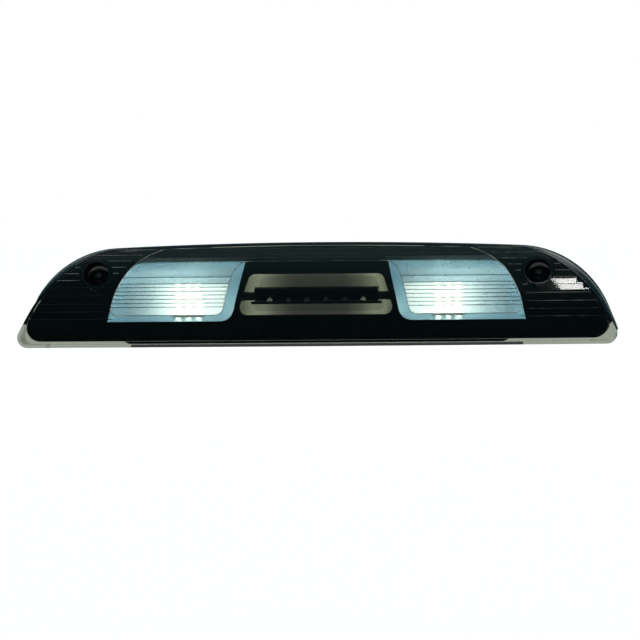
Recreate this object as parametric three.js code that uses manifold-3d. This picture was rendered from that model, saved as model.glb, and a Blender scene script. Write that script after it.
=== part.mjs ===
// Third brake light with two cargo lamps, for the rear edge of a pickup cab roof.
// Millimetres. X runs along the lamp, +Y into the cab (the lens looks along -Y), Z up.
// Everything is drawn with Z counted from the lens's foot, and the whole group is then lowered so
// that the origin lies on the seating plane, in the middle of the gasket's lower run.
import * as THREE from "three";
import { mergeVertices } from "three/addons/utils/BufferGeometryUtils.js";
import Module from "manifold-3d";

const wasm = await Module();
wasm.setup();

// ---------------------------------------------------------------- driving dimensions
// "depth" is the distance forward of the cab panel, so y = -depth.
const FACE_DEPTH = 58; // lens face at its foot, in the middle
const FACE_RISE = 86; // height at which the face's ellipse would meet the panel
const BOW_RADIUS = 2200; // the lamp follows the cab's bow, seen from above
const OUTLINE_TOP = 77; // highest point of the outline
const OUTLINE_TOP_RADIUS = 3500;
const OUTLINE_FOOT_HALF = 228.7; // half width of the end line, carried down to the foot
const END_LEAN = THREE.MathUtils.degToRad(22.3); // lean of the end lines from the vertical
const SHOULDER_RADIUS = 74;
const TOE_RADIUS = 8;
const END_FLARE = 1.92e-5; // how much the ends widen from face to panel, per mm of height squared
const TOP_DRAFT = 0.015;

const GAP = 0.3; // clearance between pieces that touch
const LENS_WALL = 2.5;
const LENS_REAR = 4; // depth of the lens skirt's rear edge
const LIP_RETURN = 14; // how far the lip under the lamp runs back
const LIP_WALL = 2.2;
const GASKET_THICKNESS = 3;
const GASKET_WIDTH = 6;
const GASKET_INSET = 9;
const HOUSING_WALL = 2.2;
const BACK_WALL = 2.5;
const HOUSING_FOOT = 4.6; // the housing's underside, above the lip
const HOUSING_TOE_RADIUS = 11;
const BEZEL_WALL = 1.8;
const BEZEL_BEHIND_LENS = 1.4; // air between the lens and the bezel
const CUP_WALL = 1.5;

const WELL_X = 165.5; // the two screw wells
const WELL_Z = 55;
const WELL_RADIUS = 9.4;
const WELL_DEPTH = 28;
const WELL_WALL = 2.2;
const WELL_FLOOR = 2.5;
const WELL_SINK = 0.4; // the cup's edge, behind the lens face
const SCREW_DIP = THREE.MathUtils.degToRad(8); // the screws run down as they go in
const SCREW_HOLE_RADIUS = 3.6;
const SHANK_RADIUS = 2.7;
const SCREW_REACH = 16; // shank behind the seating plane
const HEAD_RADIUS = 4.4;
const HEAD_HEIGHT = 3.8;
const HEAD_FLANGE_RADIUS = 6.6;
const HEAD_FLANGE = 1.3;
const SEAL_THICKNESS = 1.2;
const SLEEVE_RADIUS = 4.6;

const HUMP_HALF = 60; // middle hump behind the brake lamp
const HUMP_LOW = 18;
const HUMP_HIGH = 51;
const HUMP_REACH = 15; // behind the seating plane
const SIDE_HUMP_NEAR = 74; // the humps behind the cargo lamps
const SIDE_HUMP_FAR = 138;
const SIDE_HUMP_REACH = 9;
const HUMP_RADIUS = 7;

const CARGO_BOARD_DEPTH = 18; // rear face of the cargo boards
const BOARD_THICKNESS = 1.6;
const CARGO_BOARD_WIDTH = 40;
const CARGO_BOARD_HEIGHT = 29;
const CARGO_LED_PITCH_X = 7.5;
const CARGO_LED_PITCH_Z = 8;
const CARGO_LED_SIZE = 5;
const CARGO_LED_HEIGHT = 1.5;
const CARGO_CENTRE = 97.5; // middle of each cargo board
const CARGO_Z = 33.5;

const BAR_HALF = 46.4; // the light bar across the brake reflector
const BAR_LOW = 31.2;
const BAR_HIGH = 43.9;
const BAR_FRONT = 46;
const BAR_DEPTH = 13.5;
const BAR_BOARD_HALF = 48.65;
const BAR_BOARD_THICKNESS = 1.9;
const BAR_COVER_WALL = 1.2;
const STRUT_LOW = 34;
const STRUT_HIGH = 40;
const BRAKE_LED_PITCH = 13.95;
const BRAKE_LED_COUNT = 6;

const PIN_PITCH = 4;
const PIN_COUNT = 4;
const SOCKET_WIDTH = 24;
const SOCKET_HEIGHT = 13;
const SOCKET_REACH = 15;
const SOCKET_WALL = 1.8;
const SOCKET_X = 26;
const SOCKET_Z = 34;
const LEAD_DIAMETER = 3.2;

// depths that follow from those
const BACK_DEPTH = GASKET_THICKNESS + GAP; // rear face of the housing's back wall
const FLOOR_DEPTH = BACK_DEPTH + BACK_WALL; // its inner face
const HOUSING_INSET = LENS_WALL + 0.5;
const BEZEL_FRONT = LENS_WALL + BEZEL_BEHIND_LENS; // offsets behind the lens face
const BEZEL_BACK = BEZEL_FRONT + BEZEL_WALL;
const CUP_FRONT = BEZEL_BACK + GAP;
const GASKET_LOW = HOUSING_FOOT + GASKET_INSET; // middle of the gasket's lower run
const REAR_END = -60; // a depth behind everything

// ---------------------------------------------------------------- materials
const material = (color, roughness, metalness = 0, opacity = 1) =>
  new THREE.MeshStandardMaterial({ color, roughness, metalness, opacity, transparent: opacity < 1 });
const smokedLens = material(0x5a635c, 0.06, 0, 0.45);
const blackPlastic = material(0x0c0e0f, 0.45);
const foam = material(0x202020, 0.95);
const whiteReflector = material(0xd9e6ee, 0.25, 0.2);
const silverReflector = material(0xb9b9ae, 0.3, 0.8);
const boardWhite = material(0xe9ecec, 0.5);
const boardBlack = material(0x0b0d0d, 0.5);
const ledWhite = material(0xfdfbe8, 0.35);
const ledRed = material(0xcfc6b4, 0.35);
const darkCover = material(0x16191c, 0.12, 0, 0.7);
const steel = material(0x9a9c9e, 0.35, 0.9);
const tin = material(0xc8c6be, 0.3, 0.9);
const rubber = material(0x141414, 0.85);
const leadJacket = material(0x111111, 0.6);

// ---------------------------------------------------------------- solids
/** A closed geometry as a manifold-3d solid, for a cut or a join. */
function solid(geometry) {
  const bare = geometry.clone();
  bare.deleteAttribute("normal");
  bare.deleteAttribute("uv");
  const merged = mergeVertices(bare, 1e-4);
  return new wasm.Manifold(
    new wasm.Mesh({
      numProp: 3,
      vertProperties: new Float32Array(merged.attributes.position.array),
      triVerts: new Uint32Array(merged.index.array),
    }),
  );
}

/** A manifold-3d solid as a geometry. */
function geometryOf(made) {
  const mesh = made.getMesh();
  return new THREE.BufferGeometry()
    .setAttribute("position", new THREE.BufferAttribute(mesh.vertProperties, 3))
    .setIndex(new THREE.BufferAttribute(mesh.triVerts, 1));
}

const union = (first, ...others) => others.reduce((sum, next) => sum.add(next), first);

const lamp = new THREE.Group();
lamp.position.z = -GASKET_LOW;

function add(name, shape, finish, parent = lamp) {
  const geometry = shape.isBufferGeometry ? shape : geometryOf(shape);
  const mesh = new THREE.Mesh(geometry, finish);
  mesh.name = name;
  parent.add(mesh);
  return mesh;
}

/** Moves every vertex by a function that changes a vector in place. */
function reshape(geometry, change) {
  const position = geometry.attributes.position;
  const point = new THREE.Vector3();
  for (let i = 0; i < position.count; i++) {
    change(point.fromBufferAttribute(position, i));
    position.setXYZ(i, point.x, point.y, point.z);
  }
  return geometry;
}

/** A shape drawn in X and Z, as a slab between two depths. */
function slab(shape, fromDepth, toDepth, curveSegments = 7) {
  // where one curve ends and the next begins, only one of the two points is kept
  const corners = shape.getPoints(curveSegments).filter((p, i, all) => p.distanceTo(all.at(i - 1)) > 1e-3);
  return new THREE.ExtrudeGeometry(new THREE.Shape(corners), { depth: toDepth - fromDepth, bevelEnabled: false })
    .translate(0, 0, fromDepth)
    .rotateX(Math.PI / 2);
}

/** A rectangle with round corners, by its edges. */
function roundedRectangle(left, right, low, high, radius) {
  const shape = new THREE.Shape();
  shape.absarc(right - radius, low + radius, radius, -Math.PI / 2, 0);
  shape.absarc(right - radius, high - radius, radius, 0, Math.PI / 2);
  shape.absarc(left + radius, high - radius, radius, Math.PI / 2, Math.PI);
  shape.absarc(left + radius, low + radius, radius, Math.PI, 1.5 * Math.PI);
  return shape;
}

const block = (left, right, low, high, fromDepth, toDepth) =>
  new THREE.BoxGeometry(right - left, toDepth - fromDepth, high - low).translate(
    (left + right) / 2,
    -(fromDepth + toDepth) / 2,
    (low + high) / 2,
  );

/** A round bar along Y, between two depths; the radii are at its rear and front ends. */
const bar = (x, z, rearRadius, frontRadius, fromDepth, toDepth, sides = 24) =>
  new THREE.CylinderGeometry(rearRadius, frontRadius, toDepth - fromDepth, sides).translate(
    x,
    -(fromDepth + toDepth) / 2,
    z,
  );

// ---------------------------------------------------------------- the lamp's outline and face
/** The lamp's outline in X and Z, drawn inset from the lens's outer edge. */
function outline(inset, foot, toeRadius) {
  const topRadius = OUTLINE_TOP_RADIUS - inset;
  const topCentre = new THREE.Vector2(0, OUTLINE_TOP - OUTLINE_TOP_RADIUS);
  const along = new THREE.Vector2(-Math.sin(END_LEAN), Math.cos(END_LEAN));
  const inward = new THREE.Vector2(-Math.cos(END_LEAN), -Math.sin(END_LEAN));
  const endFoot = new THREE.Vector2(OUTLINE_FOOT_HALF, 0).addScaledVector(inward, inset);

  // the shoulder touches the end line and the inside of the top arc
  const shoulderRadius = SHOULDER_RADIUS - inset;
  const from = endFoot.clone().addScaledVector(inward, shoulderRadius).sub(topCentre);
  const b = from.dot(along);
  const reach = topRadius - shoulderRadius;
  const run = -b + Math.sqrt(b * b - from.lengthSq() + reach * reach);
  const shoulder = from.addScaledVector(along, run).add(topCentre);
  const topAngle = Math.atan2(shoulder.y - topCentre.y, shoulder.x - topCentre.x);

  // the toe touches the foot line and the end line, or the shoulder where that comes down past the end line
  const toeRise = foot + toeRadius;
  const toeRun = (toeRise - endFoot.y - inward.y * toeRadius) / along.y;
  const toe = endFoot.clone().addScaledVector(inward, toeRadius).addScaledVector(along, toeRun);
  let lean = END_LEAN;
  if (toeRise + toeRadius * Math.sin(lean) > shoulder.y + shoulderRadius * Math.sin(lean)) {
    const drop = toeRise - shoulder.y;
    const across = Math.sqrt((shoulderRadius - toeRadius) ** 2 - drop * drop);
    toe.x = shoulder.x + across;
    lean = Math.atan2(drop, across);
  }

  // the end line is drawn in three stretches, so that the flared body keeps small facets there
  const normal = new THREE.Vector2(Math.cos(lean), Math.sin(lean));
  const lineLow = toe.clone().addScaledVector(normal, toeRadius);
  const lineHigh = shoulder.clone().addScaledVector(normal, shoulderRadius);
  const stops = [1 / 3, 2 / 3].map((share) => lineLow.clone().lerp(lineHigh, share));

  const shape = new THREE.Shape();
  shape.absarc(toe.x, toe.y, toeRadius, -Math.PI / 2, lean);
  stops.forEach((stop) => shape.lineTo(stop.x, stop.y));
  shape.absarc(shoulder.x, shoulder.y, shoulderRadius, lean, topAngle);
  shape.absarc(topCentre.x, topCentre.y, topRadius, topAngle, Math.PI - topAngle);
  shape.absarc(-shoulder.x, shoulder.y, shoulderRadius, Math.PI - topAngle, Math.PI - lean);
  stops.reverse().forEach((stop) => shape.lineTo(-stop.x, stop.y));
  shape.absarc(-toe.x, toe.y, toeRadius, Math.PI - lean, 1.5 * Math.PI);
  return shape;
}

/** The ends draw in towards the face, and the top drops a little. */
function flare(point) {
  const share = (-point.y - LENS_REAR) / (FACE_DEPTH - LENS_REAR);
  point.x *= 1 - END_FLARE * share * point.z * point.z;
  point.z *= 1 - TOP_DRAFT * share;
}

/** The lamp's flared body between the panel and the face; all of them share the same facets. */
function outlineBody(inset, foot, toeRadius, fromDepth = 0) {
  const body = solid(reshape(slab(outline(inset, foot, toeRadius), 0, FACE_DEPTH + 4), flare));
  return fromDepth > 0 ? body.subtract(solid(block(-250, 250, -10, 100, -5, fromDepth))) : body;
}

/** Depth of the face, or of a surface behind it, at a place on the lamp. */
function faceDepth(x, z, behind = 0) {
  const rise = z / (FACE_RISE - behind);
  return (FACE_DEPTH - behind) * Math.sqrt(1 - rise * rise) - (x * x) / (2 * BOW_RADIUS);
}

/** Everything behind the face, or behind a surface that lies behind it. */
function behindFace(behind, fromDepth = REAR_END, half = 240) {
  const low = -6;
  const high = FACE_RISE - behind - 0.4;
  const steps = 12;
  const profile = new THREE.Shape().moveTo(fromDepth, low);
  for (let i = 0; i <= steps; i++) {
    const z = low + (high - low) * Math.sin((i / steps) * (Math.PI / 2));
    profile.lineTo(faceDepth(0, z, behind), z);
  }
  profile.lineTo(fromDepth, high);
  const body = new THREE.ExtrudeGeometry(profile, { depth: 2 * half, steps: 12, bevelEnabled: false });
  body.applyMatrix4(
    new THREE.Matrix4()
      .makeBasis(new THREE.Vector3(0, -1, 0), new THREE.Vector3(0, 0, 1), new THREE.Vector3(-1, 0, 0))
      .setPosition(half, 0, 0),
  );
  return solid(reshape(body, (point) => (point.y += point.x ** 2 / (2 * BOW_RADIUS))));
}

// ---------------------------------------------------------------- the screw wells
const SIDES = { left: -1, right: 1 };
const mouthDepth = faceDepth(WELL_X, WELL_Z);
const floorRun = WELL_DEPTH + WELL_FLOOR; // from the mouth to the rear of the well's floor
const cupRadius = WELL_RADIUS + WELL_WALL;
const panelRun = mouthDepth / Math.cos(SCREW_DIP); // from the mouth to the seating plane

/** A round bar on a well's axis, between two distances inward from its mouth. */
function wellBar(side, radius, from, to, sides = 28, farRadius = radius) {
  return new THREE.CylinderGeometry(farRadius, radius, to - from, sides)
    .translate(0, (from + to) / 2, 0)
    .rotateX(-SCREW_DIP)
    .translate(SIDES[side] * WELL_X, -mouthDepth, WELL_Z);
}

const wellBars = (radius, from, to, sides) =>
  solid(wellBar("left", radius, from, to, sides)).add(solid(wellBar("right", radius, from, to, sides)));

// ---------------------------------------------------------------- lamp windows
/** The opening of a cargo lamp, as seen from the front, grown by an amount. */
function cargoWindow(side, grow = 0) {
  const s = SIDES[side];
  const shape = new THREE.Shape();
  shape.moveTo(s * (156.5 + grow), 18.9 - grow);
  shape.lineTo(s * (72 - grow), 18.9 - grow);
  shape.quadraticCurveTo(s * (62.5 - grow), 18.9 - grow, s * (61 - grow), 30.5);
  shape.quadraticCurveTo(s * (57.5 - grow), 46, s * (53.3 - grow), 62.8 + grow);
  shape.lineTo(s * (129 + grow), 62.3 + grow);
  shape.quadraticCurveTo(s * (137 + grow), 61.8 + grow, s * (141.2 + grow), 57);
  shape.quadraticCurveTo(s * (152.8 + grow), 42, s * (154.6 + grow), 27);
  shape.closePath();
  return shape;
}

/** The opening in front of the brake reflector, grown by an amount. */
function brakeWindow(grow = 0) {
  const shape = new THREE.Shape();
  const low = 23.3 - grow;
  const high = 53.4 + grow;
  shape.moveTo(-(50.5 + grow), low);
  shape.lineTo(50.5 + grow, low);
  shape.quadraticCurveTo(57 + grow, low, 57 + grow, low + 6.5);
  shape.quadraticCurveTo(54.4 + grow, 40, 51.2 + grow, high - 4.8);
  shape.quadraticCurveTo(50.2 + grow, high, 45 + grow, high);
  shape.lineTo(-(45 + grow), high);
  shape.quadraticCurveTo(-(50.2 + grow), high, -(51.2 + grow), high - 4.8);
  shape.quadraticCurveTo(-(54.4 + grow), 40, -(57 + grow), low + 6.5);
  shape.quadraticCurveTo(-(57 + grow), low, -(50.5 + grow), low);
  return shape;
}

/**
 * A reflector cup's body: a bar that has a window's shape where it meets the bezel, and draws in towards its
 * rear about a centre. Its walls run straight on past the bezel, and are cut off there.
 */
function cupBody(shape, centreX, centreZ, fromDepth, rearShare) {
  return solid(
    reshape(slab(shape, fromDepth, FACE_DEPTH + 4, 5), (point) => {
      const mouth = faceDepth(point.x, point.z, CUP_FRONT);
      const scale = 1 - (1 - rearShare) * ((mouth + point.y) / (mouth - fromDepth));
      point.x = centreX + (point.x - centreX) * scale;
      point.z = centreZ + (point.z - centreZ) * scale;
    }),
  );
}

// ---------------------------------------------------------------- outer lens
const innerFace = behindFace(LENS_WALL);
const bezelSpace = behindFace(BEZEL_FRONT);
const cupSpace = behindFace(CUP_FRONT);

function makeLens() {
  const outer = outlineBody(0, 0, TOE_RADIUS, LENS_REAR).intersect(behindFace(0));
  const cavity = outlineBody(LENS_WALL, LIP_WALL, TOE_RADIUS - LENS_WALL).intersect(innerFace);
  const underside = solid(block(-203, 203, -2, HOUSING_FOOT - GAP, REAR_END, 70)).intersect(
    behindFace(LIP_RETURN),
  );
  return outer
    .subtract(cavity)
    .subtract(underside)
    .subtract(wellBars(cupRadius + GAP, -20, WELL_DEPTH));
}
add("outer_lens", makeLens(), smokedLens);

/** The cup that a mounting screw sits in; its edge follows the lens face. */
function makeWell(side) {
  return solid(wellBar(side, cupRadius, -14, floorRun))
    .intersect(behindFace(WELL_SINK))
    .subtract(solid(wellBar(side, WELL_RADIUS, -20, WELL_DEPTH)))
    .subtract(solid(wellBar(side, SCREW_HOLE_RADIUS, 0, floorRun + 2, 20)));
}
for (const side of ["left", "right"]) add(`screw_well_${side}`, makeWell(side), blackPlastic);

// ---------------------------------------------------------------- rear housing
const SCREW_POSTS = [
  { x: -166, z: 24 },
  { x: -43, z: 60.5 },
  { x: -30, z: 15 },
  { x: 30, z: 15 },
  { x: 43, z: 60.5 },
  { x: 166, z: 24 },
];
const POST_DEPTH = 22; // front of the posts, where the reflectors' ears rest
const POST_RADIUS = 3.4;
const POST_HOLE = 1.4;
const VENT = { x: -30, z: 34, radius: 6, neck: 2.6 };
const SIDE_HUMP_LOW = 19;
const SIDE_HUMP_HIGH = 49;

function humps(shrink, fromExtra, toDepth) {
  const side = (s) =>
    solid(
      slab(
        roundedRectangle(
          Math.min(s * SIDE_HUMP_NEAR, s * SIDE_HUMP_FAR) + shrink,
          Math.max(s * SIDE_HUMP_NEAR, s * SIDE_HUMP_FAR) - shrink,
          SIDE_HUMP_LOW + shrink,
          SIDE_HUMP_HIGH - shrink,
          HUMP_RADIUS - shrink,
        ),
        -SIDE_HUMP_REACH + fromExtra,
        toDepth,
        4,
      ),
    );
  const middle = solid(
    slab(
      roundedRectangle(-HUMP_HALF + shrink, HUMP_HALF - shrink, HUMP_LOW + shrink, HUMP_HIGH - shrink, HUMP_RADIUS - shrink),
      -HUMP_REACH + fromExtra,
      toDepth,
      4,
    ),
  );
  return union(middle, side(-1), side(1));
}

function makeHousing() {
  const rim = behindFace(BEZEL_BACK + GAP);
  const body = outlineBody(HOUSING_INSET, HOUSING_FOOT, HOUSING_TOE_RADIUS, BACK_DEPTH).intersect(rim);
  const hollow = outlineBody(
    HOUSING_INSET + HOUSING_WALL,
    HOUSING_FOOT + HOUSING_WALL,
    HOUSING_TOE_RADIUS - HOUSING_WALL,
    FLOOR_DEPTH,
  );
  const posts = union(...SCREW_POSTS.map((p) => solid(bar(p.x, p.z, POST_RADIUS, POST_RADIUS - 0.4, BACK_DEPTH + 0.5, POST_DEPTH, 16))));
  const postHoles = union(...SCREW_POSTS.map((p) => solid(bar(p.x, p.z, POST_HOLE, POST_HOLE, POST_DEPTH - 11, POST_DEPTH + 5, 12))));
  const sleeveSeats = wellBars(SLEEVE_RADIUS + 3.4, floorRun + GAP, panelRun + 3, 24).intersect(
    solid(block(-220, 220, 0, 90, BACK_DEPTH + 0.5, 40)),
  );
  // two pegs that find their holes in the cab panel
  const pegs = union(...[-1, 1].map((s) => solid(bar(s * 152, 30, 2.4, 3.2, -8, BACK_DEPTH + 1, 16))));
  const ribs = union(...[-188, -63.5, 63.5, 188].map((x) => solid(block(x - 0.9, x + 0.9, x * x > 1e4 ? 8 : 29, x * x > 1e4 ? 40 : 66, BACK_DEPTH + 0.5, FLOOR_DEPTH + 5))));
  const pinSlots = union(...pinPlaces().map((x) => solid(block(x - 1.4, x + 1.4, SOCKET_Z - 0.8, SOCKET_Z + 0.8, -HUMP_REACH - 2, 0))));
  const ventHole = solid(bar(VENT.x, VENT.z, VENT.neck + GAP, VENT.neck + GAP, -HUMP_REACH - 2, 0, 16));
  return body
    .subtract(hollow)
    .add(humps(0, 0, BACK_DEPTH + 1))
    .subtract(humps(HOUSING_WALL, HOUSING_WALL, FLOOR_DEPTH + 2))
    .subtract(wellBars(cupRadius + GAP, -10, floorRun + GAP))
    .add(posts)
    .add(sleeveSeats)
    .add(pegs)
    .add(ribs)
    .subtract(postHoles)
    .subtract(wellBars(SLEEVE_RADIUS + GAP, floorRun - 4, panelRun + 12, 20))
    .subtract(pinSlots)
    .subtract(ventHole);
}

function pinPlaces() {
  return Array.from({ length: PIN_COUNT }, (_, i) => SOCKET_X + (i - (PIN_COUNT - 1) / 2) * PIN_PITCH);
}
add("rear_housing", makeHousing(), blackPlastic);

// ---------------------------------------------------------------- seals
function makeGasket() {
  const middle = HOUSING_INSET + GASKET_INSET;
  const edge = (grow) =>
    solid(slab(outline(middle - grow, GASKET_LOW - grow, HOUSING_TOE_RADIUS + grow - 4), 0, GASKET_THICKNESS));
  return edge(GASKET_WIDTH / 2).subtract(
    solid(slab(outline(middle + GASKET_WIDTH / 2, GASKET_LOW + GASKET_WIDTH / 2, 5), -1, GASKET_THICKNESS + 1)),
  );
}
add("seat_gasket", makeGasket(), foam);

const LOWER_SEAL_HALF = 140;
function makeLowerSeal() {
  const shape = new THREE.Shape([
    new THREE.Vector2(-LOWER_SEAL_HALF - 4, HOUSING_FOOT - GAP),
    new THREE.Vector2(-LOWER_SEAL_HALF, LIP_WALL + GAP),
    new THREE.Vector2(LOWER_SEAL_HALF, LIP_WALL + GAP),
    new THREE.Vector2(LOWER_SEAL_HALF + 4, HOUSING_FOOT - GAP),
  ]);
  return solid(slab(shape, 0, 70)).intersect(behindFace(BEZEL_BACK)).subtract(behindFace(BEZEL_BACK + 4));
}
add("lower_seal", makeLowerSeal(), rubber);

// ---------------------------------------------------------------- bezel
function makeBezel() {
  const edge = outlineBody(HOUSING_INSET, HOUSING_FOOT, HOUSING_TOE_RADIUS);
  const windows = union(
    solid(slab(cargoWindow("left"), 0, 70, 6)),
    solid(slab(cargoWindow("right"), 0, 70, 6)),
    solid(slab(brakeWindow(), 0, 70, 6)),
  );
  return edge
    .intersect(bezelSpace)
    .subtract(behindFace(BEZEL_BACK))
    .subtract(windows)
    .subtract(wellBars(cupRadius + GAP, -10, 20));
}
add("inner_bezel", makeBezel(), blackPlastic);

// ---------------------------------------------------------------- cargo lamps
const EAR_THICKNESS = 2;
function ear(post, towardsX, towardsZ) {
  const plate = new THREE.Shape();
  const angle = Math.atan2(towardsZ - post.z, towardsX - post.x);
  plate.absarc(post.x, post.z, 4.2, angle + Math.PI / 2, angle + 1.5 * Math.PI);
  plate.lineTo(towardsX + 4.2 * Math.sin(angle), towardsZ - 4.2 * Math.cos(angle));
  plate.lineTo(towardsX - 4.2 * Math.sin(angle), towardsZ + 4.2 * Math.cos(angle));
  plate.closePath();
  return solid(slab(plate, POST_DEPTH + GAP, POST_DEPTH + GAP + EAR_THICKNESS, 6));
}
const earHole = (post) => solid(bar(post.x, post.z, 1.9, 1.9, POST_DEPTH - 2, POST_DEPTH + 8, 12));

const CARGO_REAR = CARGO_BOARD_DEPTH + BOARD_THICKNESS + GAP; // rear of the cup's floor
const REAR_SHARE = 0.8;

function makeCargoReflector(side) {
  const s = SIDES[side];
  const x = s * 106;
  const outer = cupBody(cargoWindow(side, CUP_WALL), x, 38, CARGO_REAR, REAR_SHARE).intersect(cupSpace);
  const inner = cupBody(cargoWindow(side), x, 38, CARGO_REAR + CUP_WALL, REAR_SHARE);
  const [outboard, inboard] = [s * 166, s * 43].map((at) => SCREW_POSTS.find((p) => p.x === at));
  const ears = ear(outboard, s * 140, 28).add(ear(inboard, s * 66, 54));
  const centre = s * CARGO_CENTRE;
  const window = solid(
    block(
      centre - CARGO_LED_PITCH_X - CARGO_LED_SIZE,
      centre + CARGO_LED_PITCH_X + CARGO_LED_SIZE,
      CARGO_Z - CARGO_LED_PITCH_Z - CARGO_LED_SIZE,
      CARGO_Z + CARGO_LED_PITCH_Z + CARGO_LED_SIZE,
      0,
      30,
    ),
  );
  return outer.add(ears.subtract(inner)).subtract(inner).subtract(window).subtract(earHole(outboard)).subtract(earHole(inboard));
}

/** A surface-mounted lamp package: a square base with a smaller lit top. */
function ledPackage(size, height) {
  const base = new THREE.BoxGeometry(size, height * 0.75, size).translate(0, height * 0.375, 0);
  const top = new THREE.CylinderGeometry(size * 0.36, size * 0.4, height * 0.3, 16).translate(0, height * 0.85, 0);
  return geometryOf(solid(base).add(solid(top)));
}

for (const side of ["left", "right"]) {
  const centre = SIDES[side] * CARGO_CENTRE;
  add(`cargo_reflector_${side}`, makeCargoReflector(side), whiteReflector);
  add(
    `cargo_board_${side}`,
    block(
      centre - CARGO_BOARD_WIDTH / 2,
      centre + CARGO_BOARD_WIDTH / 2,
      CARGO_Z - CARGO_BOARD_HEIGHT / 2,
      CARGO_Z + CARGO_BOARD_HEIGHT / 2,
      CARGO_BOARD_DEPTH,
      CARGO_BOARD_DEPTH + BOARD_THICKNESS,
    ),
    boardWhite,
  );
  for (let column = -1; column <= 1; column++) {
    for (let row = -1; row <= 1; row++) {
      const led = add(
        `cargo_led_${side}_${3 * (column + 1) + row + 2}`,
        ledPackage(CARGO_LED_SIZE, CARGO_LED_HEIGHT),
        ledWhite,
      );
      led.rotation.x = Math.PI;
      led.position.set(
        centre + column * CARGO_LED_PITCH_X,
        -(CARGO_BOARD_DEPTH + BOARD_THICKNESS + GAP),
        CARGO_Z + row * CARGO_LED_PITCH_Z,
      );
    }
  }
}

// ---------------------------------------------------------------- brake lamp
const BRAKE_REAR = 12;
const LEAD_PORT = { x: -14, z: 38, radius: 3 };
function makeBrakeReflector() {
  const outer = cupBody(brakeWindow(CUP_WALL), 0, 38, BRAKE_REAR, 0.86).intersect(cupSpace);
  const inner = cupBody(brakeWindow(), 0, 38, BRAKE_REAR + CUP_WALL, 0.86);
  const posts = [-30, 30].map((at) => SCREW_POSTS.find((p) => p.x === at));
  const ears = union(...posts.map((p) => ear(p, p.x, 26)));
  const strutSlots = union(
    ...[-1, 1].map((s) => solid(block(s * 55 - 9, s * 55 + 9, STRUT_LOW - GAP, STRUT_HIGH + GAP, BAR_FRONT - BAR_DEPTH - GAP, 70))),
  );
  const leadPort = solid(bar(LEAD_PORT.x, LEAD_PORT.z, LEAD_PORT.radius, LEAD_PORT.radius, 5, 20, 16));
  return union(outer, ears.subtract(inner))
    .subtract(inner)
    .subtract(strutSlots)
    .subtract(leadPort)
    .subtract(union(...posts.map(earHole)));
}
add("brake_reflector", makeBrakeReflector(), silverReflector);

const barBack = BAR_FRONT - BAR_DEPTH;
const boardTop = BAR_LOW + BAR_BOARD_THICKNESS;

function makeBarCarrier() {
  const spine = block(-BAR_HALF, BAR_HALF, boardTop + GAP, BAR_HIGH, barBack, barBack + 2.5);
  const struts = [-1, 1].map((s) => {
    const edges = [s * (BAR_HALF - 2), s * 58.6].sort((a, b) => a - b);
    return solid(block(...edges, STRUT_LOW, STRUT_HIGH, barBack, barBack + 6)).intersect(cupSpace);
  });
  return union(solid(spine), ...struts);
}
add("led_bar_carrier", makeBarCarrier(), blackPlastic);

add("brake_board", block(-BAR_BOARD_HALF, BAR_BOARD_HALF, BAR_LOW, boardTop, barBack, BAR_FRONT), boardBlack);

function makeBarCover() {
  const backOfCover = barBack + 2.5 + GAP;
  const section = (shrink, foot) => {
    const shape = new THREE.Shape();
    const round = 4.5 - shrink;
    shape.moveTo(backOfCover, foot);
    shape.lineTo(BAR_FRONT - shrink, foot);
    shape.absarc(BAR_FRONT - shrink - round, BAR_HIGH - shrink - round, round, 0, Math.PI / 2);
    shape.lineTo(backOfCover, BAR_HIGH - shrink);
    shape.closePath();
    return shape;
  };
  const along = (shape, half) =>
    new THREE.ExtrudeGeometry(shape, { depth: 2 * half, bevelEnabled: false, curveSegments: 8 }).applyMatrix4(
      new THREE.Matrix4()
        .makeBasis(new THREE.Vector3(0, -1, 0), new THREE.Vector3(0, 0, 1), new THREE.Vector3(-1, 0, 0))
        .setPosition(half, 0, 0),
    );
  const strutClear = [-1, 1].map((s) =>
    solid(block(s * BAR_HALF - 2.6, s * BAR_HALF + 2.6, STRUT_LOW - GAP, STRUT_HIGH + GAP, barBack, barBack + 6 + GAP)),
  );
  return solid(along(section(0, boardTop + GAP), BAR_HALF))
    .subtract(solid(along(section(BAR_COVER_WALL, boardTop - 2), BAR_HALF - BAR_COVER_WALL)))
    .subtract(union(...strutClear));
}
add("led_bar_cover", makeBarCover(), darkCover);

const BRAKE_LED_DEPTH = BAR_FRONT - 4.2;
for (let i = 0; i < BRAKE_LED_COUNT; i++) {
  const x = (i - (BRAKE_LED_COUNT - 1) / 2) * BRAKE_LED_PITCH;
  const base = new THREE.BoxGeometry(3.5, 2.8, 1.6).translate(0, 0, 0.8);
  const dome = new THREE.SphereGeometry(1.2, 12, 8).translate(0, 0, 1.6);
  const led = add(`brake_led_${i + 1}`, solid(base).add(solid(dome)), ledRed);
  led.position.set(x, -BRAKE_LED_DEPTH, boardTop + GAP);
}

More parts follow.
